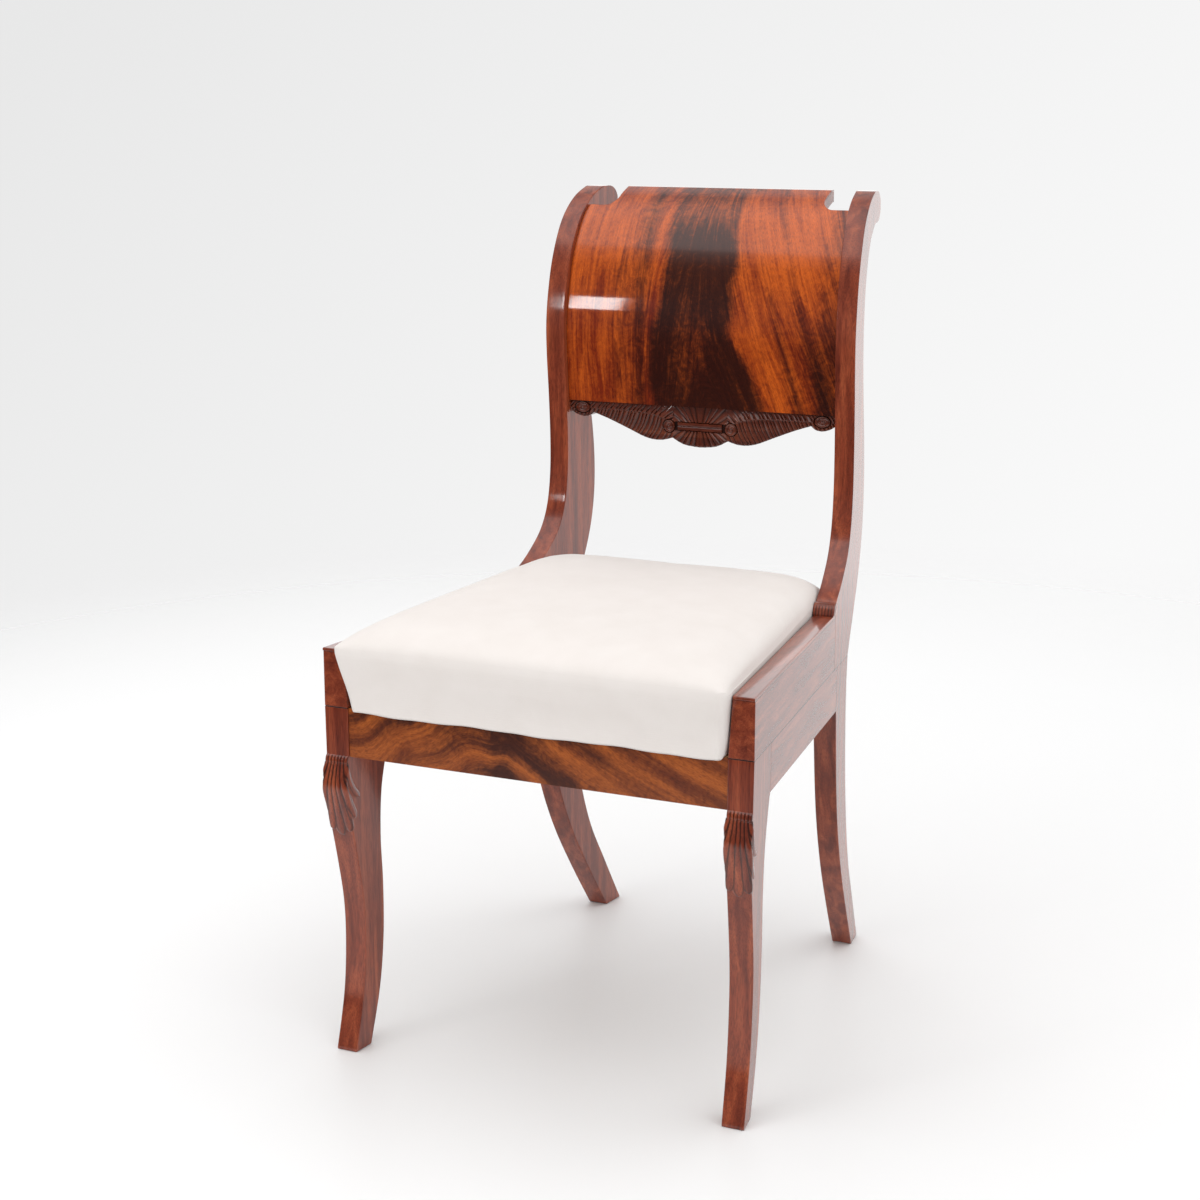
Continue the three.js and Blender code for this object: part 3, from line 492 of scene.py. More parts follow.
leg_heights = np.concatenate([
    np.linspace(0, knee_low, foot_rungs, endpoint=False),
    np.linspace(knee_low, knee_high, knee_rungs, endpoint=False),
    np.linspace(knee_high, joint_height, block_rungs)])
add_side_members(
    "carved_front_leg", "front_leg", mahogany_up, level_rungs(front_leg_front, front_leg_back, leg_heights),
    leg_insets, knee_steps, radii=(arris, glued_corner), ends=(arris, arris / 2), relief=knee_relief,
    joints=("end",))


# Rear legs: each is a sabre sawn from the plank, from the post behind the side rail back to the foot.
post_depth, rear_splay, rear_leg_rungs = 55 * MM, 173 * MM, 110
post_front = front + frame_depth - post_depth
rear_leg_front = curve_through(
    [(0, 1), (0.089, 0.74), (0.19, 0.555), (0.352, 0.37), (0.57, 0.185), (0.812, 0)],
    (post_front, 0), rear_splay, leg_height, curve_steps)[::-1]
rear_leg_back = curve_through(
    [(1, 0), (0.789, 0.16), (0.598, 0.31), (0.468, 0.47), (0.382, 0.63), (0.33, 0.79), (0.309, 0.92)],
    (post_front, 0), rear_splay, joint_height, curve_steps)
rear_leg_back = np.vstack([rear_leg_back, [front + frame_depth, joint_height]])
add_side_members(
    "sabre_rear_leg", "rear_leg", mahogany_up,
    level_rungs(rear_leg_front, rear_leg_back, np.linspace(0, joint_height, rear_leg_rungs)),
    leg_insets, (8, 12, 8, 5), radii=(glued_corner, arris), ends=(arris, arris / 2), joints=("end",))


# Lower rails: mahogany at the sides and the rear, and a beech front rail. The side rails are thicker
# than the legs, and the ledge inside holds the loose seat. Plain blocks of beech strengthen the corners.
glue_gap, side_rail_thickness = 0.3 * MM, 40 * MM
plain_steps, lower_rail_rungs = (8, 8, 8, 5), 12


def upright_rungs(low, high, start, end, count):
    """Upright rungs between two heights, evenly from one depth to another."""
    return [((y, low), (y, high)) for y in np.linspace(start, end, count)]


add_side_members(
    "lower_side_rail", "side_rail", mahogany_back,
    upright_rungs(
        leg_height, joint_height, front + knee_depth + glue_gap, post_front - glue_gap, lower_rail_rungs),
    (leg_outer_inset, side_rail_thickness), plain_steps, radii=(arris, arris / 2),
    ends=(glued_arris, glued_arris), joints=("rear",))


def dry_beech(name):
    """Planed beech, unpolished: pale pinkish brown with short darker flecks 2 mm long."""
    material, tree = new_material(name)
    place = add_node(tree, "ShaderNodeTexCoord").outputs["Object"]
    broad = grain_pattern(tree, place, (12, 40, 60), Detail=3.0)
    flecks = grain_pattern(tree, place, (500, 1600, 1600), Detail=1.0)
    tone = add_node(tree, "ShaderNodeValToRGB", {"Fac": broad})
    set_ramp(tone.color_ramp, (0.3, "#A87D52"), (0.7, "#C59C6D"))
    colour = with_pores(tree, tone.outputs["Color"], flecks, 0.36, 0.5, 0.72)
    relief = add_node(tree, "ShaderNodeBump", {"Height": flecks, "Strength": 0.2, "Distance": 0.1 * MM})
    surface = add_node(tree, "ShaderNodeBsdfPrincipled", {
        "Base Color": colour, "Normal": relief.outputs[0], "Roughness": 0.62})
    add_node(tree, "ShaderNodeOutputMaterial", {"Surface": surface.outputs[0]})
    return material


beech = dry_beech("planed_beech")
for name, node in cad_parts.items():
    if name == "front_rail" or name.startswith(("corner_block", "frame_dowel", "seat_frame")):
        node.material_slots[0].material = beech
for name in ("rear_rail", "upper_rear_rail"):
    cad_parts[name].material_slots[0].material = mahogany_across


# Upper side rails: they stand on the lower frame with a thin cap, and thin towards their tops. The
# joint shows all round as a fine dark line.
upper_thickness, upper_rail_top, cap_top = 23 * MM, 439 * MM, 442.5 * MM
cap_overhang, upper_frame_depth, upper_rail_rungs = 1.2 * MM, 357 * MM, 14
seam = front + upper_frame_depth


def upper_inner_inset(z):
    share = np.clip((z - joint_height) / (cap_top - joint_height), 0, 1)
    return leg_thickness + (upper_thickness - leg_thickness) * share


add_side_members(
    "seat_side_rail", "upper_rail", mahogany_back,
    upright_rungs(joint_height, upper_rail_top, front, seam - glue_gap, upper_rail_rungs),
    (0, upper_inner_inset), plain_steps, radii=(arris / 2, arris / 3), ends=(arris, arris / 3),
    joints=("front", "rear", "end"))
add_side_members(
    "thin_rail_cap", "rail_cap", mahogany_back,
    upright_rungs(upper_rail_top, cap_top, front - cap_overhang, seam - glue_gap, upper_rail_rungs),
    (0, upper_thickness), (8, 4, 8, 5), radii=(arris / 3, arris), ends=(arris, glued_arris),
    joints=("front", "end"))


# Back stiles: each rises from the rear leg in a bow and scrolls over backwards in a round nose with a
# small hook under it. They hold the crest between them.
overall_height, root_top, easing_run = 890 * MM, 455.5 * MM, 10 * MM
scroll_reach, nose_radius, nose_shift, hook_step = 157 * MM, 18 * MM, 15 * MM, 7 * MM
bow_steps, nose_steps, stile_rungs = 400, 24, 190
stile_front = curve_through(
    [(0, 0), (0.185, 0.043), (0.346, 0.095), (0.439, 0.16), (0.48, 0.245), (0.484, 0.345), (0.466, 0.46),
     (0.443, 0.56), (0.437, 0.645), (0.463, 0.725), (0.519, 0.81), (0.611, 0.888), (0.71, 0.938),
     (0.847, 0.977), (1, 1)], (seam, root_top), scroll_reach, overall_height - root_top, bow_steps)
stile_back = curve_through(
    [(0.843, 0.926), (0.741, 0.898), (0.668, 0.853), (0.618, 0.793), (0.598, 0.726), (0.602, 0.657),
     (0.628, 0.584), (0.668, 0.51), (0.705, 0.436), (0.723, 0.363), (0.716, 0.29), (0.679, 0.222),
     (0.61, 0.157), (0.517, 0.095), (0.426, 0.04)],
    (seam, joint_height), scroll_reach + nose_shift + nose_radius, overall_height - joint_height,
    bow_steps)[::-1]
nose_middle = np.array([seam + scroll_reach + nose_shift, overall_height - nose_radius])
nose_turn = np.linspace(math.pi / 2, 0, nose_steps)[:, None]
nose_over = nose_middle + nose_radius * np.hstack([np.cos(nose_turn), np.sin(nose_turn)])
nose_under = nose_over * (1, -1) + (0, 2 * nose_middle[1])


def way_along(points):
    """How far each point of a line lies along it."""
    return np.concatenate([[0], np.cumsum(np.linalg.norm(np.diff(points, axis=0), axis=1))])


def evenly(points, count):
    """The same line with its points evenly spaced."""
    points = np.asarray(points, float)
    way = way_along(points)
    spots = np.linspace(0, way[-1], count)
    return np.stack([np.interp(spots, way, points[:, k]) for k in range(2)], 1)


def stile_front_corner(z):
    """The front corners are sharp where the rail and the collar are glued to the stile."""
    return float(np.interp(z, (root_top, root_top + easing_run), (glued_arris, arris)))


over_edge = evenly(np.vstack([[(seam, joint_height)], stile_front, nose_over]), stile_rungs)
under_edge = evenly(np.vstack([
    [(front + frame_depth, joint_height)], stile_back,
    [(nose_middle[0] - hook_step, nose_middle[1] - nose_radius)], nose_under]), stile_rungs)
add_side_members(
    "scrolled_stile", "back_stile", mahogany_up, list(zip(over_edge, under_edge))[:-1],
    (0, upper_inner_inset), (8, 16, 8, 5), radii=(stile_front_corner, arris), ends=(arris / 2, arris),
    joints=("start",))


# Leaf collars: small carved brackets that cover the step from the rail's cap up to the stile. Six
# flutes run down the face under a row of fine beads.
collar_height, collar_depth, collar_rungs, collar_steps = 13 * MM, 14 * MM, 44, 60
flute_pitch, flute_lift, bead_row_share = 3.6 * MM, 0.9 * MM, 0.82
flute_foot_share, flute_foot_slope, flute_power = 0.1, 8, 0.6
collar_edge = curve_through(
    [(0, 0), (0.1, 0.3), (0.3, 0.75), (0.62, 1)],
    (seam - glue_gap - collar_depth, cap_top), collar_depth, collar_height, collar_steps)


def collar_relief(around, z):
    """Flutes with a scalloped foot, and beads along the top: their lift, and the painted shade between them.
    """
    rise = (z - cap_top) / collar_height
    flute = np.abs(np.sin(math.pi * (around / flute_pitch + 0.5)))
    bead = np.abs(np.sin(math.pi * (around / (flute_pitch / 2) + 0.5)))
    if rise > bead_row_share:
        up = math.sin(math.pi * (rise - bead_row_share) / (1 - bead_row_share))
        return flute_lift * bead ** 0.5 * max(up, 0) ** 0.5, (1 - bead) ** 2
    foot = np.clip((rise - flute_foot_share * (1 - flute)) * flute_foot_slope, 0, 1)
    return flute_lift * flute ** flute_power * foot, (1 - flute) ** 2


add_side_members(
    "carved_leaf_collar", "leaf_collar", mahogany_up,
    [((y, z), (seam - glue_gap, z)) for y, z in evenly(collar_edge, collar_rungs)],
    (0, upper_thickness), (72, 6, 4, 4), radii=(arris / 2, glued_arris), ends=(glued_arris, arris / 2),
    relief=collar_relief)


# Crest: a curved mahogany board that follows the bow of the stiles, faced with two leaves of mahogany
# veneer: a straight-grained band at the left, and from the seam to the right a leaf cut through a crotch,
# whose dark plume opens downwards. Its top corners are notched, and the polish is the best on the chair.
crest_bottom, crest_setback, crest_lip = 647.5 * MM, 6 * MM, 6 * MM
crest_thickness, veneer_thickness, eased_edge = 12 * MM, 1.2 * MM, 0.5 * MM
crest_inset, flame_seam = upper_thickness + glue_gap, -72 * MM
crest_rows, board_columns, band_columns, flame_columns = 150, 60, 50, 130
crest_top_y = seam + scroll_reach + crest_setback + crest_lip
crest_foot_y = np.interp(crest_bottom, stile_front[:, 1], stile_front[:, 0])
above_foot = stile_front[stile_front[:, 1] > crest_bottom]
crest_line = np.vstack([
    np.vstack([[(crest_foot_y, crest_bottom)], above_foot]) + (crest_setback, 0),
    [(crest_top_y, overall_height)]])
crest_line = evenly(crest_line, crest_rows)


def offset_line(points, distance):
    """A line moved back and down from the crest's face, square to its run, its first point kept level."""
    run = np.gradient(points, axis=0)
    run /= np.linalg.norm(run, axis=1)[:, None]
    moved = points + np.stack([run[:, 1], -run[:, 0]], 1) * distance
    moved[0] = points[0] + (distance / run[0, 1], 0)
    return moved


def rising(value, low, high):
    """A soft step from 0 at low to 1 at high."""
    share = np.clip((value - low) / (high - low), 0, 1)
    return share ** 2 * (3 - 2 * share)


def hump(value, middle, width, height=1):
    """A soft hump with its height at its middle."""
    return height * np.exp(-((value - middle) / width) ** 2)


def ripple(value, *waves):
    """A sum of waves, each with its size, its run and its phase."""
    return sum(size * np.sin(value / run + phase) for size, run, phase in waves)


# The crotch figure in mm, across from the middle of the crest and up from its foot. A mass has its
# middle, its width and its height, and a fade the places between which it rises.
plume_left, plume_right, left_blur, right_blur = -47, 38, 11, 13
left_foot, left_head, right_foot, right_head = (40, 62, 18), (290, 50, 8), (0, 66, 36), (290, 55, 10)
plume_waves = ((4, 23, 1), (2, 9.3, 2))
# The plume's head is made paler by a painted reflection of haze in the polish.
painted_head_haze, head_fade = 0.42, (185, 235)
flicks_across, flicks_up = (-6, 24, 0.28), (70, 50)
seam_shade, band_shade, band_fade = (-72, 13, 0.62), (-98, 13, 0.42), (225, 140)
streak_marks, streak_slant, streak_level = ((92, 7, 0.34), (124, 10, 0.3), (66, 5, 0.24)), 0.3, 100
streaks_fade, edge_dark, edge_fade = (30, 60), 0.34, (128, 152)
corner_dark, corner_fade_across, corner_fade_up = 0.3, (70, 120), (150, 60)
# base_glow lifts all the amber. The upper half's glow is partly figure, partly painted light from above; the
# glow beside the plume's right edge is a painted sheen.
base_glow, top_light_and_figure, upper_fade, head_dimming, dim_fade = 0.2, 0.36, (95, 175), 0.7, (215, 270)
beside_reach, beside_width, painted_sheen_height, beside_fade = 24, 26, 0.42, (20, 50)
left_dim, left_dim_fade = (-54, 16, 0.25), (230, 120)
right_lean, lean_run, left_lean, lean_level = 0.36, 24, (-34, 30, -0.14), 120
bend_share, bend_start, bend_level, band_wave = 0.00011, 20, 130, (2.5, 60, 0)


def plume_lines(x, way):
    """The crotch figure at a place across and a way up the crest: grain coordinate, darkness and glow, the
    glow partly painted light.

    The grain runs straight up in the band. Beside the plume it leans away from it on the way down. The
    plume is widest at its foot and paler at its head, where a reflection of haze is painted, with reddish
    flicks in its lower middle. The amber wood is lighter in the upper half, partly figure and partly
    painted light from above, and along the plume's right edge it carries a painted sheen.
    """
    u, v = x / MM, way / MM
    to_right = right_lean * (1 - np.exp(-np.clip(u, 0, None) / lean_run))
    lean = np.where(u > 0, to_right, hump(u, *left_lean))
    bend = bend_share * np.clip(u - bend_start, 0, None) * (v - bend_level)
    grain = np.where(x > flame_seam, u + lean * (v - lean_level) + bend, u + ripple(v, band_wave))
    wander = ripple(v, *plume_waves)
    right = plume_right + hump(v, *right_foot) + hump(v, *right_head) + wander
    left = plume_left - hump(v, *left_foot) - hump(v, *left_head) + wander / 2
    core = rising(u, left - left_blur, left + left_blur) * rising(right - u, -right_blur, right_blur)
    core *= 1 - painted_head_haze * rising(v, *head_fade)
    flicks = hump(u, *flicks_across) * hump(v, *flicks_up)
    seam_dark = hump(u, *seam_shade) + hump(u, *band_shade) * rising(v, *band_fade)
    slanted = u + streak_slant * (v - streak_level)
    streaks = sum(hump(slanted, *mark) for mark in streak_marks) + edge_dark * rising(u, *edge_fade)
    streaks += corner_dark * rising(u, *corner_fade_across) * rising(v, *corner_fade_up)
    dark = np.maximum(core - flicks, np.maximum(seam_dark, streaks * rising(u, *streaks_fade)))
    upper = rising(v, *upper_fade) * (1 - head_dimming * rising(v, *dim_fade))
    beside = hump(u, right + beside_reach, beside_width, painted_sheen_height) * rising(u, *beside_fade)
    glow = np.maximum(base_glow + top_light_and_figure * upper, beside)
    return grain * MM, dark, glow - hump(u, *left_dim) * rising(v, *left_dim_fade)


def paint_figure(mesh, grain, dark, glow, along):
    """Lays a veneer's figure on a mesh: a UV layer across and along the grain, its darkness and glow."""
    corners = np.zeros(len(mesh.loops), np.int32)
    mesh.loops.foreach_get("vertex_index", corners)
    figure = mesh.uv_layers.new(name="figure")
    figure.data.foreach_set("uv", np.stack([grain[corners], along[corners]], 1).astype(np.float32).ravel())
    set_attribute(mesh, "plume", dark)
    set_attribute(mesh, "glow", glow)


def closed_sheet(name, *grids):
    """A closed mesh between a near and a far grid of places, their rows going up and columns right."""
    places = np.array(grids)
    near, far = np.arange(places[..., 0].size).reshape(places.shape[:3]).tolist()
    rows, columns = places.shape[1:3]
    faces = []
    for r in range(rows - 1):
        for c in range(columns - 1):
            faces.append([near[r][c], near[r][c + 1], near[r + 1][c + 1], near[r + 1][c]])
            faces.append([far[r][c], far[r + 1][c], far[r + 1][c + 1], far[r][c + 1]])
        faces.append([near[r][0], near[r + 1][0], far[r + 1][0], far[r][0]])
        faces.append([near[r][-1], far[r][-1], far[r + 1][-1], near[r + 1][-1]])
    for c in range(columns - 1):
        faces.append([near[0][c], far[0][c], far[0][c + 1], near[0][c + 1]])
        faces.append([near[-1][c], near[-1][c + 1], far[-1][c + 1], far[-1][c]])
    mesh = bpy.data.meshes.new(name)
    mesh.from_pydata(places.reshape(-1, 3).tolist(), [], faces)
    return mesh


def made_mesh(name, maker):
    """The smooth mesh that an object's modifiers make. The object itself goes."""
    mesh = bpy.data.meshes.new_from_object(maker.evaluated_get(bpy.context.evaluated_depsgraph_get()))
    maker.modifiers.clear()
    bpy.data.objects.remove(maker)
    mesh.name = name
    mesh.shade_smooth()
    return mesh


# The notch in plan: a rectangle with its inner front corner rounded.
notch_width, notch_depth, notch_radius, notch_steps, cut_past = 28 * MM, 44 * MM, 14 * MM, 17, 5 * MM
outer_edge = half_width(crest_top_y) - upper_thickness
inner_edge, notch_front = outer_edge - notch_width, crest_top_y - notch_depth
notch_plan = [
    (inner_edge + notch_radius * (1 + math.cos(t)), notch_front + notch_radius * (1 + math.sin(t)))
    for t in np.linspace(math.pi, 1.5 * math.pi, notch_steps)]
notch_plan += [(outer_edge + notch_radius, notch_front), (outer_edge + notch_radius, crest_top_y + cut_past),
               (inner_edge, crest_top_y + cut_past)]
notch_cutters = []
for name, side in SIDES:
    rings = [[(side * x, y, z) for x, y in notch_plan]
             for z in (crest_bottom + notch_width, overall_height + cut_past)]
    notch_cutters.append(linked(f"notch_cutter_{name}", mesh_of_rings("notch", rings)))


def crest_sheet(name, near, far, left, right, columns):
    """A closed sheet between two depths below the crest's face, with its top corners notched."""
    grids = []
    for depth in (near, far):
        line = offset_line(crest_line, depth)
        reach = half_width(line[:, 0]) - crest_inset
        low, high = np.maximum(left, -reach), np.minimum(right, reach)
        x = low[:, None] + (high - low)[:, None] * np.linspace(0, 1, columns)
        grids.append(np.stack(np.broadcast_arrays(x, line[:, :1], line[:, 1:]), 2))
    mesh = closed_sheet(name, *grids)
    ways = np.tile(np.repeat(way_along(crest_line), columns), 2)
    paint_figure(mesh, *plume_lines(np.array(grids)[..., 0].ravel(), ways), ways)
    sheet = linked(name, mesh)
    for k, cutter in enumerate(notch_cutters):
        notch = sheet.modifiers.new(f"notch_{k}", "BOOLEAN")
        notch.object, notch.operation, notch.solver = cutter, "DIFFERENCE", "MANIFOLD"
    ease = sheet.modifiers.new("eased_edges", "BEVEL")
    ease.width, ease.segments, ease.limit_method = min(eased_edge, (far - near) / 4), 2, "ANGLE"
    ease.angle_limit = math.radians(50)
    return made_mesh(name, sheet)


def flame_veneer(name, light_tone, middle_tone, dark_tone):
    """French-polished crotch veneer: amber wood with a near-black plume, both streaked along the grain.

    Soft bands 10 mm wide, streaks 2 mm wide, pores 0.5 mm wide and a deep, mirror-flat polish.
    """
    material, tree = new_material(name)
    figure = add_node(tree, "ShaderNodeUVMap", uv_map="figure").outputs[0]
    plume = add_node(tree, "ShaderNodeAttribute", attribute_name="plume").outputs["Fac"]
    glow = add_node(tree, "ShaderNodeAttribute", attribute_name="glow").outputs["Fac"]
    place = add_node(tree, "ShaderNodeTexCoord").outputs["Object"]
    broad = grain_pattern(tree, figure, (95, 9, 1), Detail=3.0, Roughness=0.6, Distortion=0.9)
    streak = grain_pattern(tree, figure, (420, 16, 1), Detail=4.0, Roughness=0.7, Distortion=0.5)
    pores = grain_pattern(tree, figure, (2000, 240, 1), Detail=1.0)
    curl = add_node(tree, "ShaderNodeTexNoise", {
        "Vector": place, "Scale": 75.0, "Detail": 5.0, "Roughness": 0.65, "Distortion": 1.6}).outputs["Fac"]
    banded = add_node(tree, "ShaderNodeMix", {0: 0.4, 2: broad, 3: streak}, data_type="FLOAT").outputs[0]
    # glow lifts the amber: on the crest partly painted light, a lighter upper half and a sheen beside the
    # plume; on the rail the pale bands of the figure.
    streaked = add_node(tree, "ShaderNodeMath", {0: banded, 1: 2.6, 2: glow}, operation="MULTIPLY_ADD")
    mottled = add_node(tree, "ShaderNodeMath", {
        0: curl, 1: 0.8, 2: streaked.outputs[0]}, operation="MULTIPLY_ADD")
    light = add_node(tree, "ShaderNodeMapRange", {
        "Value": mottled.outputs[0], "From Min": 1.5, "From Max": 2.7}, interpolation_type="SMOOTHSTEP")
    amber = add_node(tree, "ShaderNodeMix", {
        0: light.outputs["Result"], 6: linear(middle_tone), 7: linear(light_tone)}, data_type="RGBA")
    feathered = add_node(tree, "ShaderNodeMath", {0: banded, 1: -1.1, 2: plume}, operation="MULTIPLY_ADD")
    curled = add_node(tree, "ShaderNodeMath", {
        0: curl, 1: -0.7, 2: feathered.outputs[0]}, operation="MULTIPLY_ADD")
    shade = add_node(tree, "ShaderNodeMapRange", {
        "Value": curled.outputs[0], "From Min": -0.85, "From Max": 0.1, "To Max": 0.94},
        interpolation_type="SMOOTHSTEP")
    tone = add_node(tree, "ShaderNodeMix", {
        0: shade.outputs["Result"], 6: amber.outputs[2], 7: linear(dark_tone)}, data_type="RGBA")
    colour = with_pores(tree, tone.outputs[2], pores, 0.34, 0.55, 0.66)
    swell = add_node(tree, "ShaderNodeTexNoise", {"Vector": place, "Scale": 18.0, "Detail": 1.0})
    waver = add_node(tree, "ShaderNodeBump", {
        "Height": swell.outputs["Fac"], "Strength": 0.05, "Distance": 2 * MM})
    surface = add_node(tree, "ShaderNodeBsdfPrincipled", {
        **french_polish, "Base Color": colour, "Normal": waver.outputs[0], "Coat Roughness": 0.05,
        "Coat Normal": waver.outputs[0]})
    add_node(tree, "ShaderNodeOutputMaterial", {"Surface": surface.outputs[0]})
    return material


crest_veneer = flame_veneer("french_polished_crotch_veneer", "#CC5C14", "#741F03", "#260803")
core_near = veneer_thickness + glue_gap
board = crest_sheet(
    "crest_board", core_near, core_near + crest_thickness, -front_half_width, front_half_width, board_columns)
add_piece("crest_board", board, mahogany_across, "frame", "mahogany", "crest_panel")
band = crest_sheet(
    "crest_band_leaf", 0, veneer_thickness, -front_half_width, flame_seam - glue_gap / 2, band_columns)
add_piece("crest_band_leaf", band, crest_veneer, "frame", "flame_veneer", "crest_veneer_band")
flame = crest_sheet("crest_flame_leaf", 0, veneer_thickness, flame_seam, front_half_width, flame_columns)
add_piece("crest_flame_leaf", flame, crest_veneer, "frame", "flame_veneer", "crest_veneer_flame")
for cutter in notch_cutters:
    bpy.data.objects.remove(cutter)


# Front rail veneer: one long leaf on the beech rail, with dark bands that sweep aslant from a knot
# left of the middle. The figure's values are in mm from the knot and up from the rail's lower edge.
front_rail_face, rail_columns, rail_rows = front + 2 * MM, 300, 36
rail_knot, knot_blur, knot_dark, beside_knot = -32 * MM, 14, (0, 16, 0.5), (40, 46, 0.3)
right_slope, slope_loss, left_slope, rail_wave = 0.66, 0.0006, -0.42, (9, 31, 0.4)
band_pitch, band_sway, band_sway_run, band_dark, grain_share = 40, 0.2, 19, 0.62, 0.6
top_dark, top_fade, top_wave, top_start = 0.3, (34, 50), (6, 20, 0), -120
left_pale, left_fade_across, left_fade_up = 0.25, (-40, -110), (45, 15)
right_pale, right_fade = 0.55, (95, 150)


def rail_figure(x, z):
    """The grain's own coordinate on the front rail, its darkness and its glow.

    Right of the knot broad bands sweep down to the right, left of it feathered arcs lean the other way.
    """
    u, v = (x - rail_knot) / MM, (z - leg_height) / MM
    right_half = rising(u, -knot_blur, knot_blur)
    to_right = right_slope * u + v - slope_loss * u ** 2
    to_left = left_slope * u + v + ripple(u, rail_wave, (4, 13, v / 19))
    slant = right_half * to_right + (1 - right_half) * to_left
    sway = band_sway * np.sin(slant / band_sway_run)
    bands = 0.5 + 0.5 * np.sin(2 * math.pi * (slant / band_pitch + sway))
    dark = band_dark * bands + hump(u, *knot_dark) * (0.7 + v / 104) + hump(u, *beside_knot) * (1 - v / 90)
    dark += top_dark * rising(v + ripple(u, top_wave), *top_fade) * (u > top_start)
    dark -= left_pale * rising(u, *left_fade_across) * rising(v, *left_fade_up)
    dark *= 1 - right_pale * rising(u, *right_fade)
    return slant * MM * grain_share, np.clip(dark, 0, 1), 0.1 + 0.4 * (1 - bands)


rail_veneer = flame_veneer("french_polished_rail_veneer", "#AC5A24", "#6E3014", "#3A160D")
heights = np.linspace(leg_height, joint_height, rail_rows)[:, None]
grids = []
for depth in (front_rail_face, front_rail_face + veneer_thickness):
    reach = half_width(depth) - leg_inner_inset(heights) - glue_gap
    x = reach * (2 * np.linspace(0, 1, rail_columns) - 1)
    grids.append(np.stack(np.broadcast_arrays(x, depth, heights), 2))
leaf = closed_sheet("front_rail_leaf", *grids)
x, _, z = np.array(grids).reshape(-1, 3).T
paint_figure(leaf, *rail_figure(x, z), x)
add_piece("front_rail_leaf", leaf, rail_veneer, "frame", "flame_veneer", "front_rail_veneer")


# Carved apron: a scalloped board glued up against the underside of the crest. A fluted tablet in the
# middle stands between two small volutes, leaves sweep out to both sides, and a scroll ends each wing.
apron_drop, apron_thickness, apron_setback, apron_ground = 46.5 * MM, 12 * MM, 3 * MM, 1.2 * MM
apron_columns, apron_rows, lobe_steps = 660, 72, 60
apron_front = crest_line[0, 0] + apron_setback
apron_half = half_width(apron_front) - upper_thickness
lobes = [
    [(0, 1), (0.12, 0.95), (0.209, 0.8)],
    [(0.209, 0.8), (0.3, 0.875), (0.41, 0.835), (0.56, 0.625), (0.7, 0.43), (0.819, 0.29)],
    [(0.819, 0.29), (0.85, 0.375), (0.9, 0.4), (0.955, 0.35), (1, 0.25)]]
edge = np.vstack([
    curve_through(lobe, (0, crest_bottom), apron_half, -apron_drop, lobe_steps)[:-1] for lobe in lobes])
tablet_height, tablet_half_width, tablet_half_height = 624.5 * MM, 27 * MM, 4.4 * MM
tablet_groove, tablet_moat, volute_moat, painted_moat_shade = 0.5 * MM, 1.14, 1.12, 0.9
volutes = ((38 * MM, 624 * MM, 7.2 * MM, 1.0), (147 * MM, 639.5 * MM, 9.2 * MM, 0.68))
volute_turns, volute_floor, volute_ridge = 1.7, 0.6, 0.5
fan_depth, fan_pitch, fan_top, fan_fall = 11 * MM, math.radians(11), 1.1, 0.7
spine_foot, spine_climb, spine_start, spine_run = 626 * MM, 13 * MM, 34 * MM, 16 * MM
spine_width, spine_floor, spine_tips = 1.1 * MM, 0.8, 0.3
wing_start, wing_middle, wing_pitch, tip_pitch = 33 * MM, 60 * MM, 4.7 * MM, 5.6 * MM
wing_slant, wing_fan, wing_curl, tip_slant, tip_top, tip_fall = 0.25, 3, 6, 0.7, 1.5, 1.35
wing_wave, wing_wave_run, rim_width, carving_lift = 0.2, 5 * MM, 1.6 * MM, 2.2 * MM
# The whole apron is darkened 56 % of the way to near black, and its grooves further, as painted shade.
ground_dark, painted_groove_shade = 0.56, 0.4


def apron_bottom(x):
    return np.interp(np.abs(x), edge[:, 0], edge[:, 1])


def ridges(place, pitch):
    """Round ridges a pitch apart, a little uneven: their height, and the painted shade in their grooves."""
    place = place / pitch + 0.14 * np.sin(place / pitch * 1.7 + 1) + 0.08 * np.sin(place / pitch * 4.1)
    wave = np.abs(np.sin(math.pi * place))
    return wave ** 0.75, (1 - wave) ** 3


def with_ornament(lift, dark, away, moat, own_lift, own_dark):
    """The carving with an ornament that ends where away is 1, in a moat of painted shade that ends at moat.
    """
    lift = np.where(away < 1, own_lift, np.where(away < moat, 0, lift))
    return lift, np.where(away < 1, own_dark, np.where(away < moat, painted_moat_shade, dark))


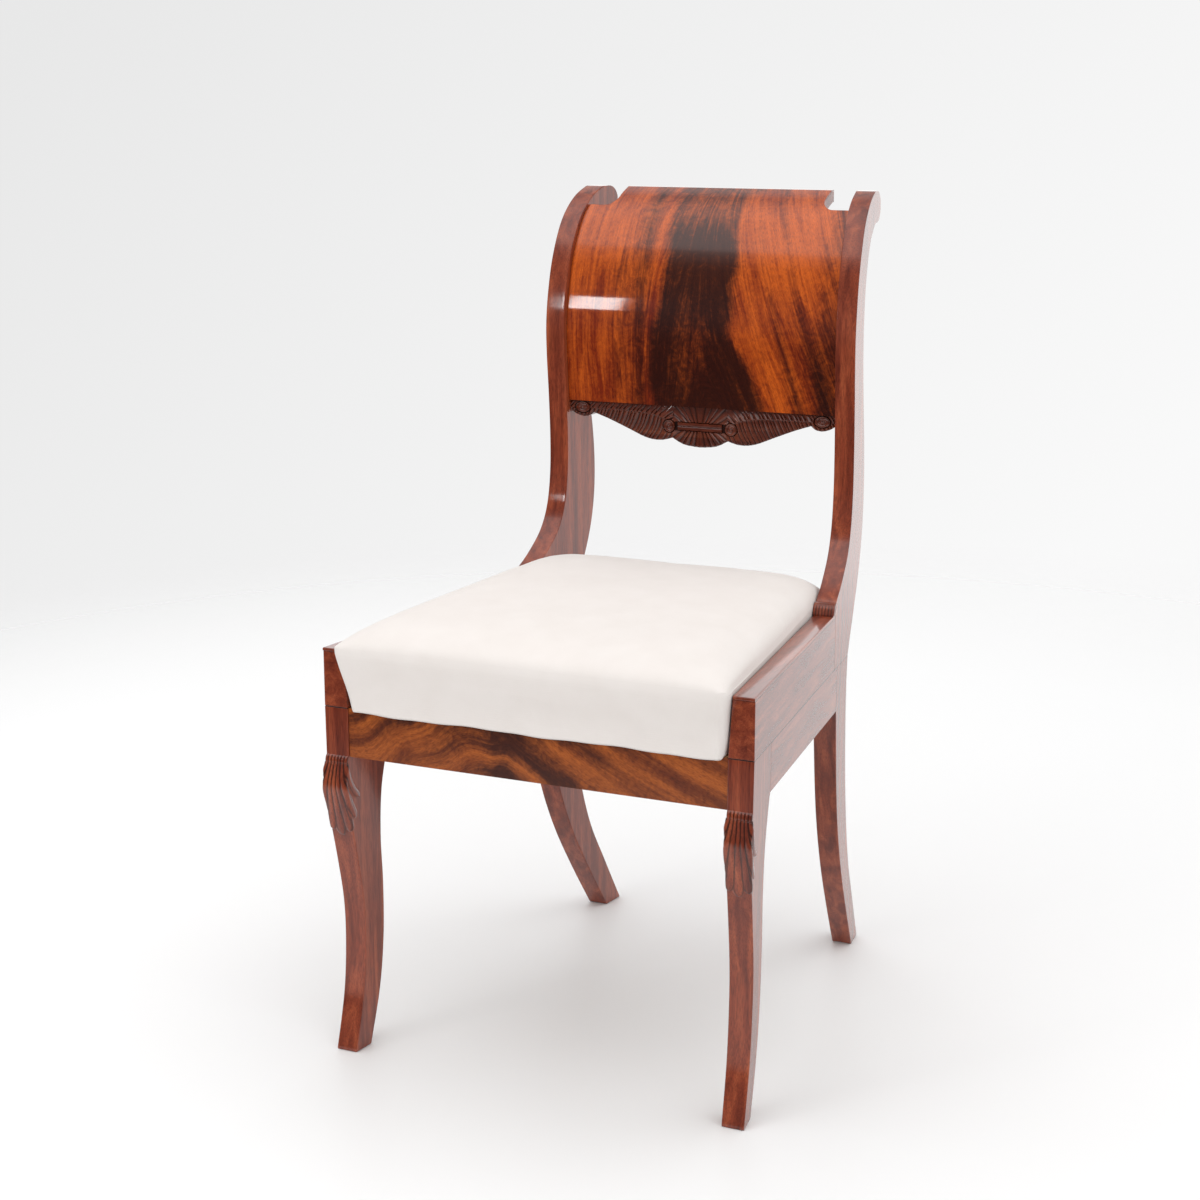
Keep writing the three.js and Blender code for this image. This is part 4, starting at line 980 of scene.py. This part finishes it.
def apron_relief(x, z):
    """The lift of the apron's carving, and its darkness: the whole board darker, with painted shade in its
    grooves and moats.

    A spine runs from each inner volute up and out. Long flutes fall from it to the scalloped edge, and
    short leaf tips lean the other way above it.
    """
    u, low = np.abs(x), apron_bottom(x)
    lift, dark = ridges(np.arctan2(u, np.abs(z - tablet_height) + fan_depth), fan_pitch)
    spine = spine_foot + spine_climb * (1 - np.exp(-(u - spine_start) / spine_run))
    drop = spine - z
    slant = drop * (wing_slant + wing_fan * (u - wing_middle)) + drop ** 2 * wing_curl
    wing, wing_dark = ridges(u - slant, wing_pitch)
    tips, tips_dark = ridges(u - drop * tip_slant, tip_pitch)
    above, outside = z > spine, u > wing_start
    climb = np.clip(-drop / np.maximum(crest_bottom - spine, MM), 0, 1)
    fan_climb = np.clip((z - tablet_height) / (crest_bottom - tablet_height), 0, 1)
    wings = np.where(above, tips * (tip_top - tip_fall * climb), wing)
    lift = np.where(outside, wings, lift * (fan_top - fan_fall * fan_climb))
    dark = np.where(outside, np.where(above, tips_dark, wing_dark), dark)
    lift = np.maximum(lift, hump(z, spine, spine_width) * outside * (spine_floor + spine_tips * tips))
    wave = 1 - wing_wave + wing_wave * np.cos(drop / wing_wave_run)
    lift *= np.where(outside & ~above, wave, 1)
    tablet = np.maximum(u / tablet_half_width, np.abs(z - tablet_height) / tablet_half_height)
    groove = hump(z, tablet_height, tablet_groove)
    lift, dark = with_ornament(lift, dark, tablet, tablet_moat, 1 - 0.45 * groove, 0.6 * groove)
    for middle, height, radius, flatness in volutes:
        rise = (z - height) / flatness
        away, turned = np.hypot(u - middle, rise) / radius, np.arctan2(rise, middle - u)
        wave = np.abs(np.sin(math.pi * (away * volute_turns - turned / (2 * math.pi))))
        lift, dark = with_ornament(
            lift, dark, away, volute_moat, volute_floor + volute_ridge * wave, 0.8 * (1 - wave) ** 4)
    rim = np.clip((z - low) / rim_width, 0, 1) ** 0.5
    return carving_lift * lift * rim, ground_dark + painted_groove_shade * np.clip(dark, 0, 1)


x = np.linspace(-1, 1, apron_columns) * (apron_half - glue_gap)
low = apron_bottom(x)
z = low + (crest_bottom - low) * np.linspace(0, 1, apron_rows)[:, None]
lift, dark = apron_relief(x, z)
grids = []
for y in (apron_front + apron_ground - lift, np.full_like(z, apron_front + apron_thickness)):
    grids.append(np.stack([x * (half_width(y) - crest_inset) / (apron_half - glue_gap), y, z], 2))
apron = closed_sheet("carved_apron_board", *grids)
set_attribute(apron, "hollow", np.concatenate([dark.ravel(), np.zeros(dark.size)]))
apron.shade_smooth()
apron.set_sharp_from_angle(angle=math.radians(60))
add_piece("carved_apron_board", apron, mahogany_across, "frame", "mahogany", "carved_apron")


# Webbing and hessian: brown jute straps over and under each other on the seat frame, with a coarse
# jute cloth over them. Both show only from below. A wave texture of scale 1 repeats every 0.314 m.
wave_length = 0.314


def jute_cloth(name, pitch, dark_tone, light_tone):
    """Coarse plain-woven jute, its threads a real pitch apart."""
    material, tree = new_material(name)
    place = add_node(tree, "ShaderNodeTexCoord").outputs["Object"]
    warp, weft = (add_node(tree, "ShaderNodeTexWave", {
        "Vector": place, "Scale": wave_length / pitch, "Distortion": 0.4,
        "Detail Scale": 60.0}, bands_direction=axis).outputs["Fac"] for axis in "XY")
    weave = add_node(tree, "ShaderNodeMath", {0: warp, 1: weft}, operation="MULTIPLY")
    mottle = add_node(tree, "ShaderNodeTexNoise", {"Vector": place, "Scale": 160.0, "Detail": 3.0})
    mixed = add_node(tree, "ShaderNodeMath", {
        0: mottle.outputs["Fac"], 1: 0.5, 2: weave.outputs[0]}, operation="MULTIPLY_ADD")
    tone = add_node(tree, "ShaderNodeValToRGB", {"Fac": mixed.outputs[0]})
    set_ramp(tone.color_ramp, (0.15, dark_tone), (0.95, light_tone))
    relief = add_node(tree, "ShaderNodeBump", {
        "Height": weave.outputs[0], "Strength": 0.7, "Distance": 0.4 * MM})
    surface = add_node(tree, "ShaderNodeBsdfPrincipled", {
        "Base Color": tone.outputs["Color"], "Normal": relief.outputs[0], "Roughness": 0.9,
        "Sheen Weight": 0.2})
    add_node(tree, "ShaderNodeOutputMaterial", {"Surface": surface.outputs[0]})
    return material


webbing_jute = jute_cloth("woven_jute_webbing", 2.0 * MM, "#6E5332", "#B49A6C")
hessian_jute = jute_cloth("woven_jute_hessian", 1.4 * MM, "#7C6340", "#C2A878")
for name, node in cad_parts.items():
    if name.startswith("webbing"):
        node.material_slots[0].material = webbing_jute
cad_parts["hessian"].material_slots[0].material = hessian_jute


# The stuffed seat: curled horsehair under a cover of white muslin, drawn over the seat frame and tacked
# under it. It is crowned in the middle, swells over the front rail and bows up a little at the rear.
seat_clearance, draw_in, shoulder_height, crown_height = 1.2 * MM, 2 * MM, 66 * MM, 36 * MM
rear_lift, rear_bow, front_swell, corner_radius = 11.4 * MM, 2 * MM, 19 * MM, 11 * MM
width_power, depth_power, roundness, ring_crowding = 6.8, 2.9, 0.4, 0.8
front_setback, well_setback, member_inset, cover_thickness = 1 * MM, 24 * MM, 4.5 * MM, 1 * MM
seat_bottom = joint_height + glue_gap
well_back = front + frame_depth - well_setback - seat_clearance
member_front, member_back = front + 3 * MM, well_back - member_inset
corner_steps, side_steps, side_rings_up, dome_steps = 10, 56, 26, 44


def seat_ring(side_inset, ring_front, ring_back, height, radius=corner_radius):
    """The outline of the seat well, moved in, with round corners."""
    plan = [Vector((side * (half_width(y) - side_inset), y)) for side, y in (
        (RIGHT, ring_front), (RIGHT, ring_back), (LEFT, ring_back), (LEFT, ring_front))]
    ring = []
    for i, corner in enumerate(plan):
        before, after = plan[i - 1], plan[(i + 1) % 4]
        a = corner + (before - corner).normalized() * radius
        b = corner + (after - corner).normalized() * radius
        c = after + (corner - after).normalized() * radius
        for t in np.linspace(0, 1, corner_steps, endpoint=False):
            ring.append(a * (1 - t) ** 2 + corner * 2 * t * (1 - t) + b * t ** 2)
        ring += [b.lerp(c, t) for t in np.linspace(0, 1, side_steps, endpoint=False)]
    return np.array([(p.x, p.y, height) for p in ring])


# The side of the seat from its lower edge up to the shoulder, as shares of the height, of how far it is
# drawn in or swells over the rail's cap, and of how far its front swells over the front rail.
side_shares = (
    (0, 1, 0.06), (0.2, 0.3, 0.2), (0.42, 0, 0.42), (0.7, 0, 0.78), (0.9, -0.3, 0.97), (1, -0.6, 1))
drawn_profile = curve_through([(h, d) for h, d, _ in side_shares], (0, 0), 1, 1, side_rings_up - 1)
swell_profile = curve_through([(h, s) for h, _, s in side_shares], (0, 0), 1, 1, side_rings_up - 1)
side_rings = []
for (height_share, drawn), (_, swell) in zip(drawn_profile, swell_profile):
    z = seat_bottom + height_share * shoulder_height
    moved_in = draw_in * drawn
    side_rings.append(seat_ring(
        upper_inner_inset(z) + seat_clearance + moved_in, front - front_setback - front_swell * swell,
        well_back - moved_in, z))
shoulder = side_rings[-1]
middle = shoulder.mean(0)
dome_rings = []
dome_front, dome_rear = shoulder[:, 1].min(), shoulder[:, 1].max()
dome_reach = (shoulder[:, 0].max(), half_width(dome_rear) - upper_thickness)
for turn in np.linspace(0, math.pi / 2, dome_steps)[1:-1]:
    ring = middle + (shoulder - middle) * math.cos(turn) ** ring_crowding
    from_middle = np.abs(2 * (ring[:, 1] - dome_front) / (dome_rear - dome_front) - 1)
    reach = np.interp(ring[:, 1], (dome_front, dome_rear), dome_reach)
    across = np.minimum(np.abs(ring[:, 0]) / reach, 1)
    crown = ((1 - across ** width_power) * (1 - from_middle ** depth_power)) ** roundness
    ring[:, 2] = shoulder[:, 2] + crown_height * crown
    dome_rings.append(ring)
outer_rings = np.array(side_rings + dome_rings)
depth_share = (outer_rings[..., 1] - front) / (well_back - front)
width_share = outer_rings[..., 0] / half_width(outer_rings[..., 1])
rise_share = np.minimum((outer_rings[..., 2] - seat_bottom) / (shoulder_height + crown_height / 2), 1)
rear_share = np.clip(depth_share, 0, 1) ** 2
outer_rings[..., 2] += rise_share ** 2 * rear_share * (rear_lift + rear_bow * (1 - width_share ** 2))

# The lower front edge droops unevenly over the rail's face, and the cloth puckers at the front corners.
lip_back, lip_blur, lip_inset = front_rail_face - 0.4 * MM, 1.5 * MM, 2 * MM
droop, droop_rise, droop_waves = 3 * MM, 28 * MM, ((0.7 * MM, 24, 1), (0.4 * MM, 9, 0))
pucker, pucker_run, pucker_fade = 0.9 * MM, 2.1, (26, 6)
ring_x = outer_rings[..., 0] / MM
in_front = rising(outer_rings[..., 1], lip_back, lip_back - lip_blur)
low_down = rising(outer_rings[..., 2], seat_bottom + droop_rise, seat_bottom)
outer_rings[..., 2] -= (droop + ripple(ring_x, *droop_waves)) * in_front * low_down ** 2
corner_way = (half_width(front) - leg_thickness) / MM - np.abs(ring_x)
folds = np.sin(corner_way / pucker_run) * rising(corner_way, *pucker_fade)
outer_rings[..., 1] += pucker * folds * rising(outer_rings[..., 2], cap_top, seat_bottom) * in_front
lip = seat_ring(
    leg_thickness + seat_clearance + draw_in + lip_inset, lip_back, well_back - draw_in - lip_inset,
    seat_bottom)
lip_edge = lip.copy()
lip_edge[:, 2] = np.minimum(outer_rings[0][:, 2] + glue_gap, seat_bottom)

# Under the seat the cover turns in to a hem, and behind it a hollow takes the seat frame and webbing.
hem_width, hollow_radius, hollow_step = 34 * MM, 4 * MM, 0.05 * MM
member_top, hessian_top = 405.2 * MM, 406.7 * MM
hessian_inset, hessian_front, hessian_back = 30.6 * MM, front - 5.6 * MM, well_back - 3.2 * MM
hem, hem_inside = (seat_ring(
    leg_thickness + member_inset + hem_width, member_front + hem_width, member_back - hem_width, z)
    for z in (seat_bottom, seat_bottom + cover_thickness))
hollow = [hem_inside]
for z in (seat_bottom + cover_thickness + hollow_step, member_top):
    hollow.append(seat_ring(
        leg_thickness + member_inset - glue_gap, member_front - glue_gap, member_back + glue_gap, z,
        hollow_radius))
for z in (member_top + hollow_step, hessian_top):
    hollow.append(seat_ring(hessian_inset, hessian_front, hessian_back, z))


def white_muslin(name):
    """Undyed white cotton muslin: a fine plain weave 0.6 mm apart, matt, with a faint nap and mottle."""
    material, tree = new_material(name)
    place = add_node(tree, "ShaderNodeTexCoord").outputs["Object"]
    warp, weft = (add_node(tree, "ShaderNodeTexWave", {
        "Vector": place, "Scale": 520.0, "Distortion": 1.0,
        "Detail Scale": 40.0}, bands_direction=axis).outputs["Fac"] for axis in "XY")
    weave = add_node(tree, "ShaderNodeMath", {0: warp, 1: weft}, operation="ADD")
    mottle = add_node(tree, "ShaderNodeTexNoise", {"Vector": place, "Scale": 30.0, "Detail": 4.0})
    tone = add_node(tree, "ShaderNodeMix", {
        0: mottle.outputs["Fac"], 6: linear("#DED7D2"), 7: linear("#E6E0DC")}, data_type="RGBA")
    slub = add_node(tree, "ShaderNodeBump", {
        "Height": mottle.outputs["Fac"], "Strength": 0.12, "Distance": 1.5 * MM})
    relief = add_node(tree, "ShaderNodeBump", {
        "Height": weave.outputs[0], "Strength": 0.25, "Distance": 0.15 * MM, "Normal": slub.outputs[0]})
    surface = add_node(tree, "ShaderNodeBsdfPrincipled", {
        "Base Color": tone.outputs[2], "Normal": relief.outputs[0], "Roughness": 0.85,
        "Specular IOR Level": 0.2, "Sheen Weight": 0.1, "Sheen Roughness": 0.5})
    add_node(tree, "ShaderNodeOutputMaterial", {"Surface": surface.outputs[0]})
    return material


voxel, held_height, quality, pressure, stiffness, last_step = 6 * MM, 18 * MM, 5, 4, 30, 20


def swollen(rings):
    """How far each place of the cover moves as its stuffing presses it out: a short cloth simulation."""
    blank = linked("pressed_seat", mesh_of_rings("pressed_seat", rings))
    remesh = blank.modifiers.new("even_faces", "REMESH")
    remesh.mode, remesh.voxel_size = "VOXEL", voxel
    even = bpy.data.meshes.new_from_object(blank.evaluated_get(bpy.context.evaluated_depsgraph_get()))
    blank.modifiers.remove(remesh)
    blank.data = even
    held = blank.vertex_groups.new(name="held")
    rest = np.array([v.co for v in even.vertices])
    grip = np.clip((joint_height + held_height - rest[:, 2]) / held_height, 0, 1)
    for i in np.flatnonzero(grip > 0):
        held.add([int(i)], float(grip[i]), "REPLACE")
    cloth = blank.modifiers.new("cloth", "CLOTH")
    cloth.settings.quality = quality
    cloth.settings.use_pressure = True
    cloth.settings.uniform_pressure_force = pressure
    cloth.settings.tension_stiffness = cloth.settings.compression_stiffness = stiffness
    cloth.settings.vertex_group_mass = "held"
    cloth.settings.effector_weights.gravity = 0
    for step in range(1, last_step + 1):
        scene.frame_set(step)
    pressed = blank.evaluated_get(bpy.context.evaluated_depsgraph_get())
    moved = np.array([v.co for v in pressed.data.vertices]) - rest
    scene.frame_set(1)
    bpy.data.objects.remove(blank)
    return rest, moved


# The cover takes the swelling of the nearest places, less near its lower edge, and is then let down
# again by what its middle has risen, so that the crown keeps its height.
neighbours, least_swell, more_swell, crown_rings = 6, 0.4 * MM, 1.6 * MM, 4
swell_below, swell_above, drop_above = 6 * MM, 30 * MM, 36 * MM
rest, moved = swollen(outer_rings[::2])
rest_places = KDTree(len(rest))
for i, place in enumerate(rest):
    rest_places.insert(place, i)
rest_places.balance()
shift = np.zeros_like(outer_rings)
for r, k in np.ndindex(outer_rings.shape[:2]):
    near = rest_places.find_n(outer_rings[r, k], neighbours)
    weights = np.array([1 / (d + MM) for _, _, d in near])
    shift[r, k] = (moved[[i for _, i, _ in near]] * weights[:, None]).sum(0) / weights.sum()
height = outer_rings[..., 2]
most = least_swell + more_swell * rising(height, cap_top - swell_below, cap_top + swell_above)[..., None]
shift *= most / (most + np.linalg.norm(shift, axis=2, keepdims=True))
shift[..., 2] -= np.median(shift[-crown_rings:, :, 2]) * rising(height, cap_top, cap_top + drop_above)
outer_rings += shift

seat_mesh = mesh_of_rings("muslin_covered_seat", [*hollow[::-1], hem, lip, lip_edge, *outer_rings])
muslin = white_muslin("plain_woven_white_muslin")
seat = add_piece(
    "muslin_covered_seat", seat_mesh, muslin, "seat", "muslin", "muslin_cover", "seat_stuffing", "edge_roll")


# Tacks: blued steel tacks with low domed heads fix the hem under the seat frame, 26 mm apart. Their
# shanks are out of sight in the beech.
tack_pitch, head_radius, head_height, tack_corner = 26 * MM, 3.5 * MM, 1.2 * MM, 3 * MM
tack_inset, tack_front, tack_back = 60 * MM, front + 32 * MM, front + 368 * MM
dome_share, sunk_share = 0.6, 0.45


def blued_steel(name):
    """Heat-blued steel: a dark blue-grey oxide on metal, a little rubbed, with 1 mm specks of rust."""
    material, tree = new_material(name)
    place = add_node(tree, "ShaderNodeTexCoord").outputs["Object"]
    specks = add_node(tree, "ShaderNodeTexNoise", {
        "Vector": place, "Scale": 900.0, "Detail": 3.0}).outputs["Fac"]
    rust = add_node(tree, "ShaderNodeMapRange", {"Value": specks, "From Min": 0.55, "From Max": 0.7})
    tone = add_node(tree, "ShaderNodeMix", {
        0: rust.outputs["Result"], 6: linear("#3A3F47"), 7: linear("#5A3A28")}, data_type="RGBA")
    relief = add_node(tree, "ShaderNodeBump", {"Height": specks, "Strength": 0.3, "Distance": 0.1 * MM})
    surface = add_node(tree, "ShaderNodeBsdfPrincipled", {
        "Base Color": tone.outputs[2], "Normal": relief.outputs[0], "Metallic": 0.9, "Roughness": 0.38})
    add_node(tree, "ShaderNodeOutputMaterial", {"Surface": surface.outputs[0]})
    return material


steel = blued_steel("heat_blued_steel")
tack_tree = bpy.data.node_groups.new("tacks_along_a_line", "GeometryNodeTree")
tack_tree.interface.new_socket("Line", in_out="INPUT", socket_type="NodeSocketGeometry")
for name in ("Pitch", "Head radius", "Head height"):
    tack_tree.interface.new_socket(name, in_out="INPUT", socket_type="NodeSocketFloat")
tack_tree.interface.new_socket("Steel", in_out="INPUT", socket_type="NodeSocketMaterial")
tack_tree.interface.new_socket("Tacks", in_out="OUTPUT", socket_type="NodeSocketGeometry")
given = add_node(tack_tree, "NodeGroupInput").outputs
line = add_node(tack_tree, "GeometryNodeMeshToCurve", {"Mesh": given["Line"]})
spots = add_node(tack_tree, "GeometryNodeResampleCurve", {
    "Curve": line.outputs[0], "Length": given["Pitch"]}, mode="LENGTH")
ball = add_node(tack_tree, "GeometryNodeMeshUVSphere", {
    "Segments": 14, "Rings": 8, "Radius": given["Head radius"]})
low = add_node(tack_tree, "ShaderNodeMath", {
    0: given["Head height"], 1: given["Head radius"]}, operation="DIVIDE")
domed = add_node(tack_tree, "ShaderNodeMath", {0: low.outputs[0], 1: dome_share}, operation="MULTIPLY")
flat = add_node(tack_tree, "ShaderNodeCombineXYZ", {"X": 1.0, "Y": 1.0, "Z": domed.outputs[0]})
sunk = add_node(tack_tree, "ShaderNodeMath", {
    0: given["Head height"], 1: -sunk_share}, operation="MULTIPLY")
sunk_place = add_node(tack_tree, "ShaderNodeCombineXYZ", {"Z": sunk.outputs[0]})
head = add_node(tack_tree, "GeometryNodeTransform", {
    "Geometry": ball.outputs["Mesh"], "Scale": flat.outputs[0], "Translation": sunk_place.outputs[0]})
heads = add_node(tack_tree, "GeometryNodeInstanceOnPoints", {
    "Points": spots.outputs[0], "Instance": head.outputs[0]})
real = add_node(tack_tree, "GeometryNodeRealizeInstances", {"Geometry": heads.outputs[0]})
steel_heads = add_node(tack_tree, "GeometryNodeSetMaterial", {
    "Geometry": real.outputs[0], "Material": given["Steel"]})
add_node(tack_tree, "NodeGroupOutput", {"Tacks": steel_heads.outputs[0]})

tack_ring = seat_ring(tack_inset, tack_front, tack_back, seat_bottom, tack_corner)
tack_line = bpy.data.meshes.new("tack_line")
tack_line.from_pydata(tack_ring.tolist(), [(k, (k + 1) % len(tack_ring)) for k in range(len(tack_ring))], [])
carrier = linked("tack_line", tack_line)
spread = carrier.modifiers.new("tacks", "NODES")
spread.node_group = tack_tree
tack_sizes = {"Pitch": tack_pitch, "Head radius": head_radius, "Head height": head_height, "Steel": steel}
for socket in tack_tree.interface.items_tree:
    if socket.name in tack_sizes:
        spread[socket.identifier] = tack_sizes[socket.name]
add_piece("seat_tacks", made_mesh("seat_tacks", carrier), steel, "seat", None)
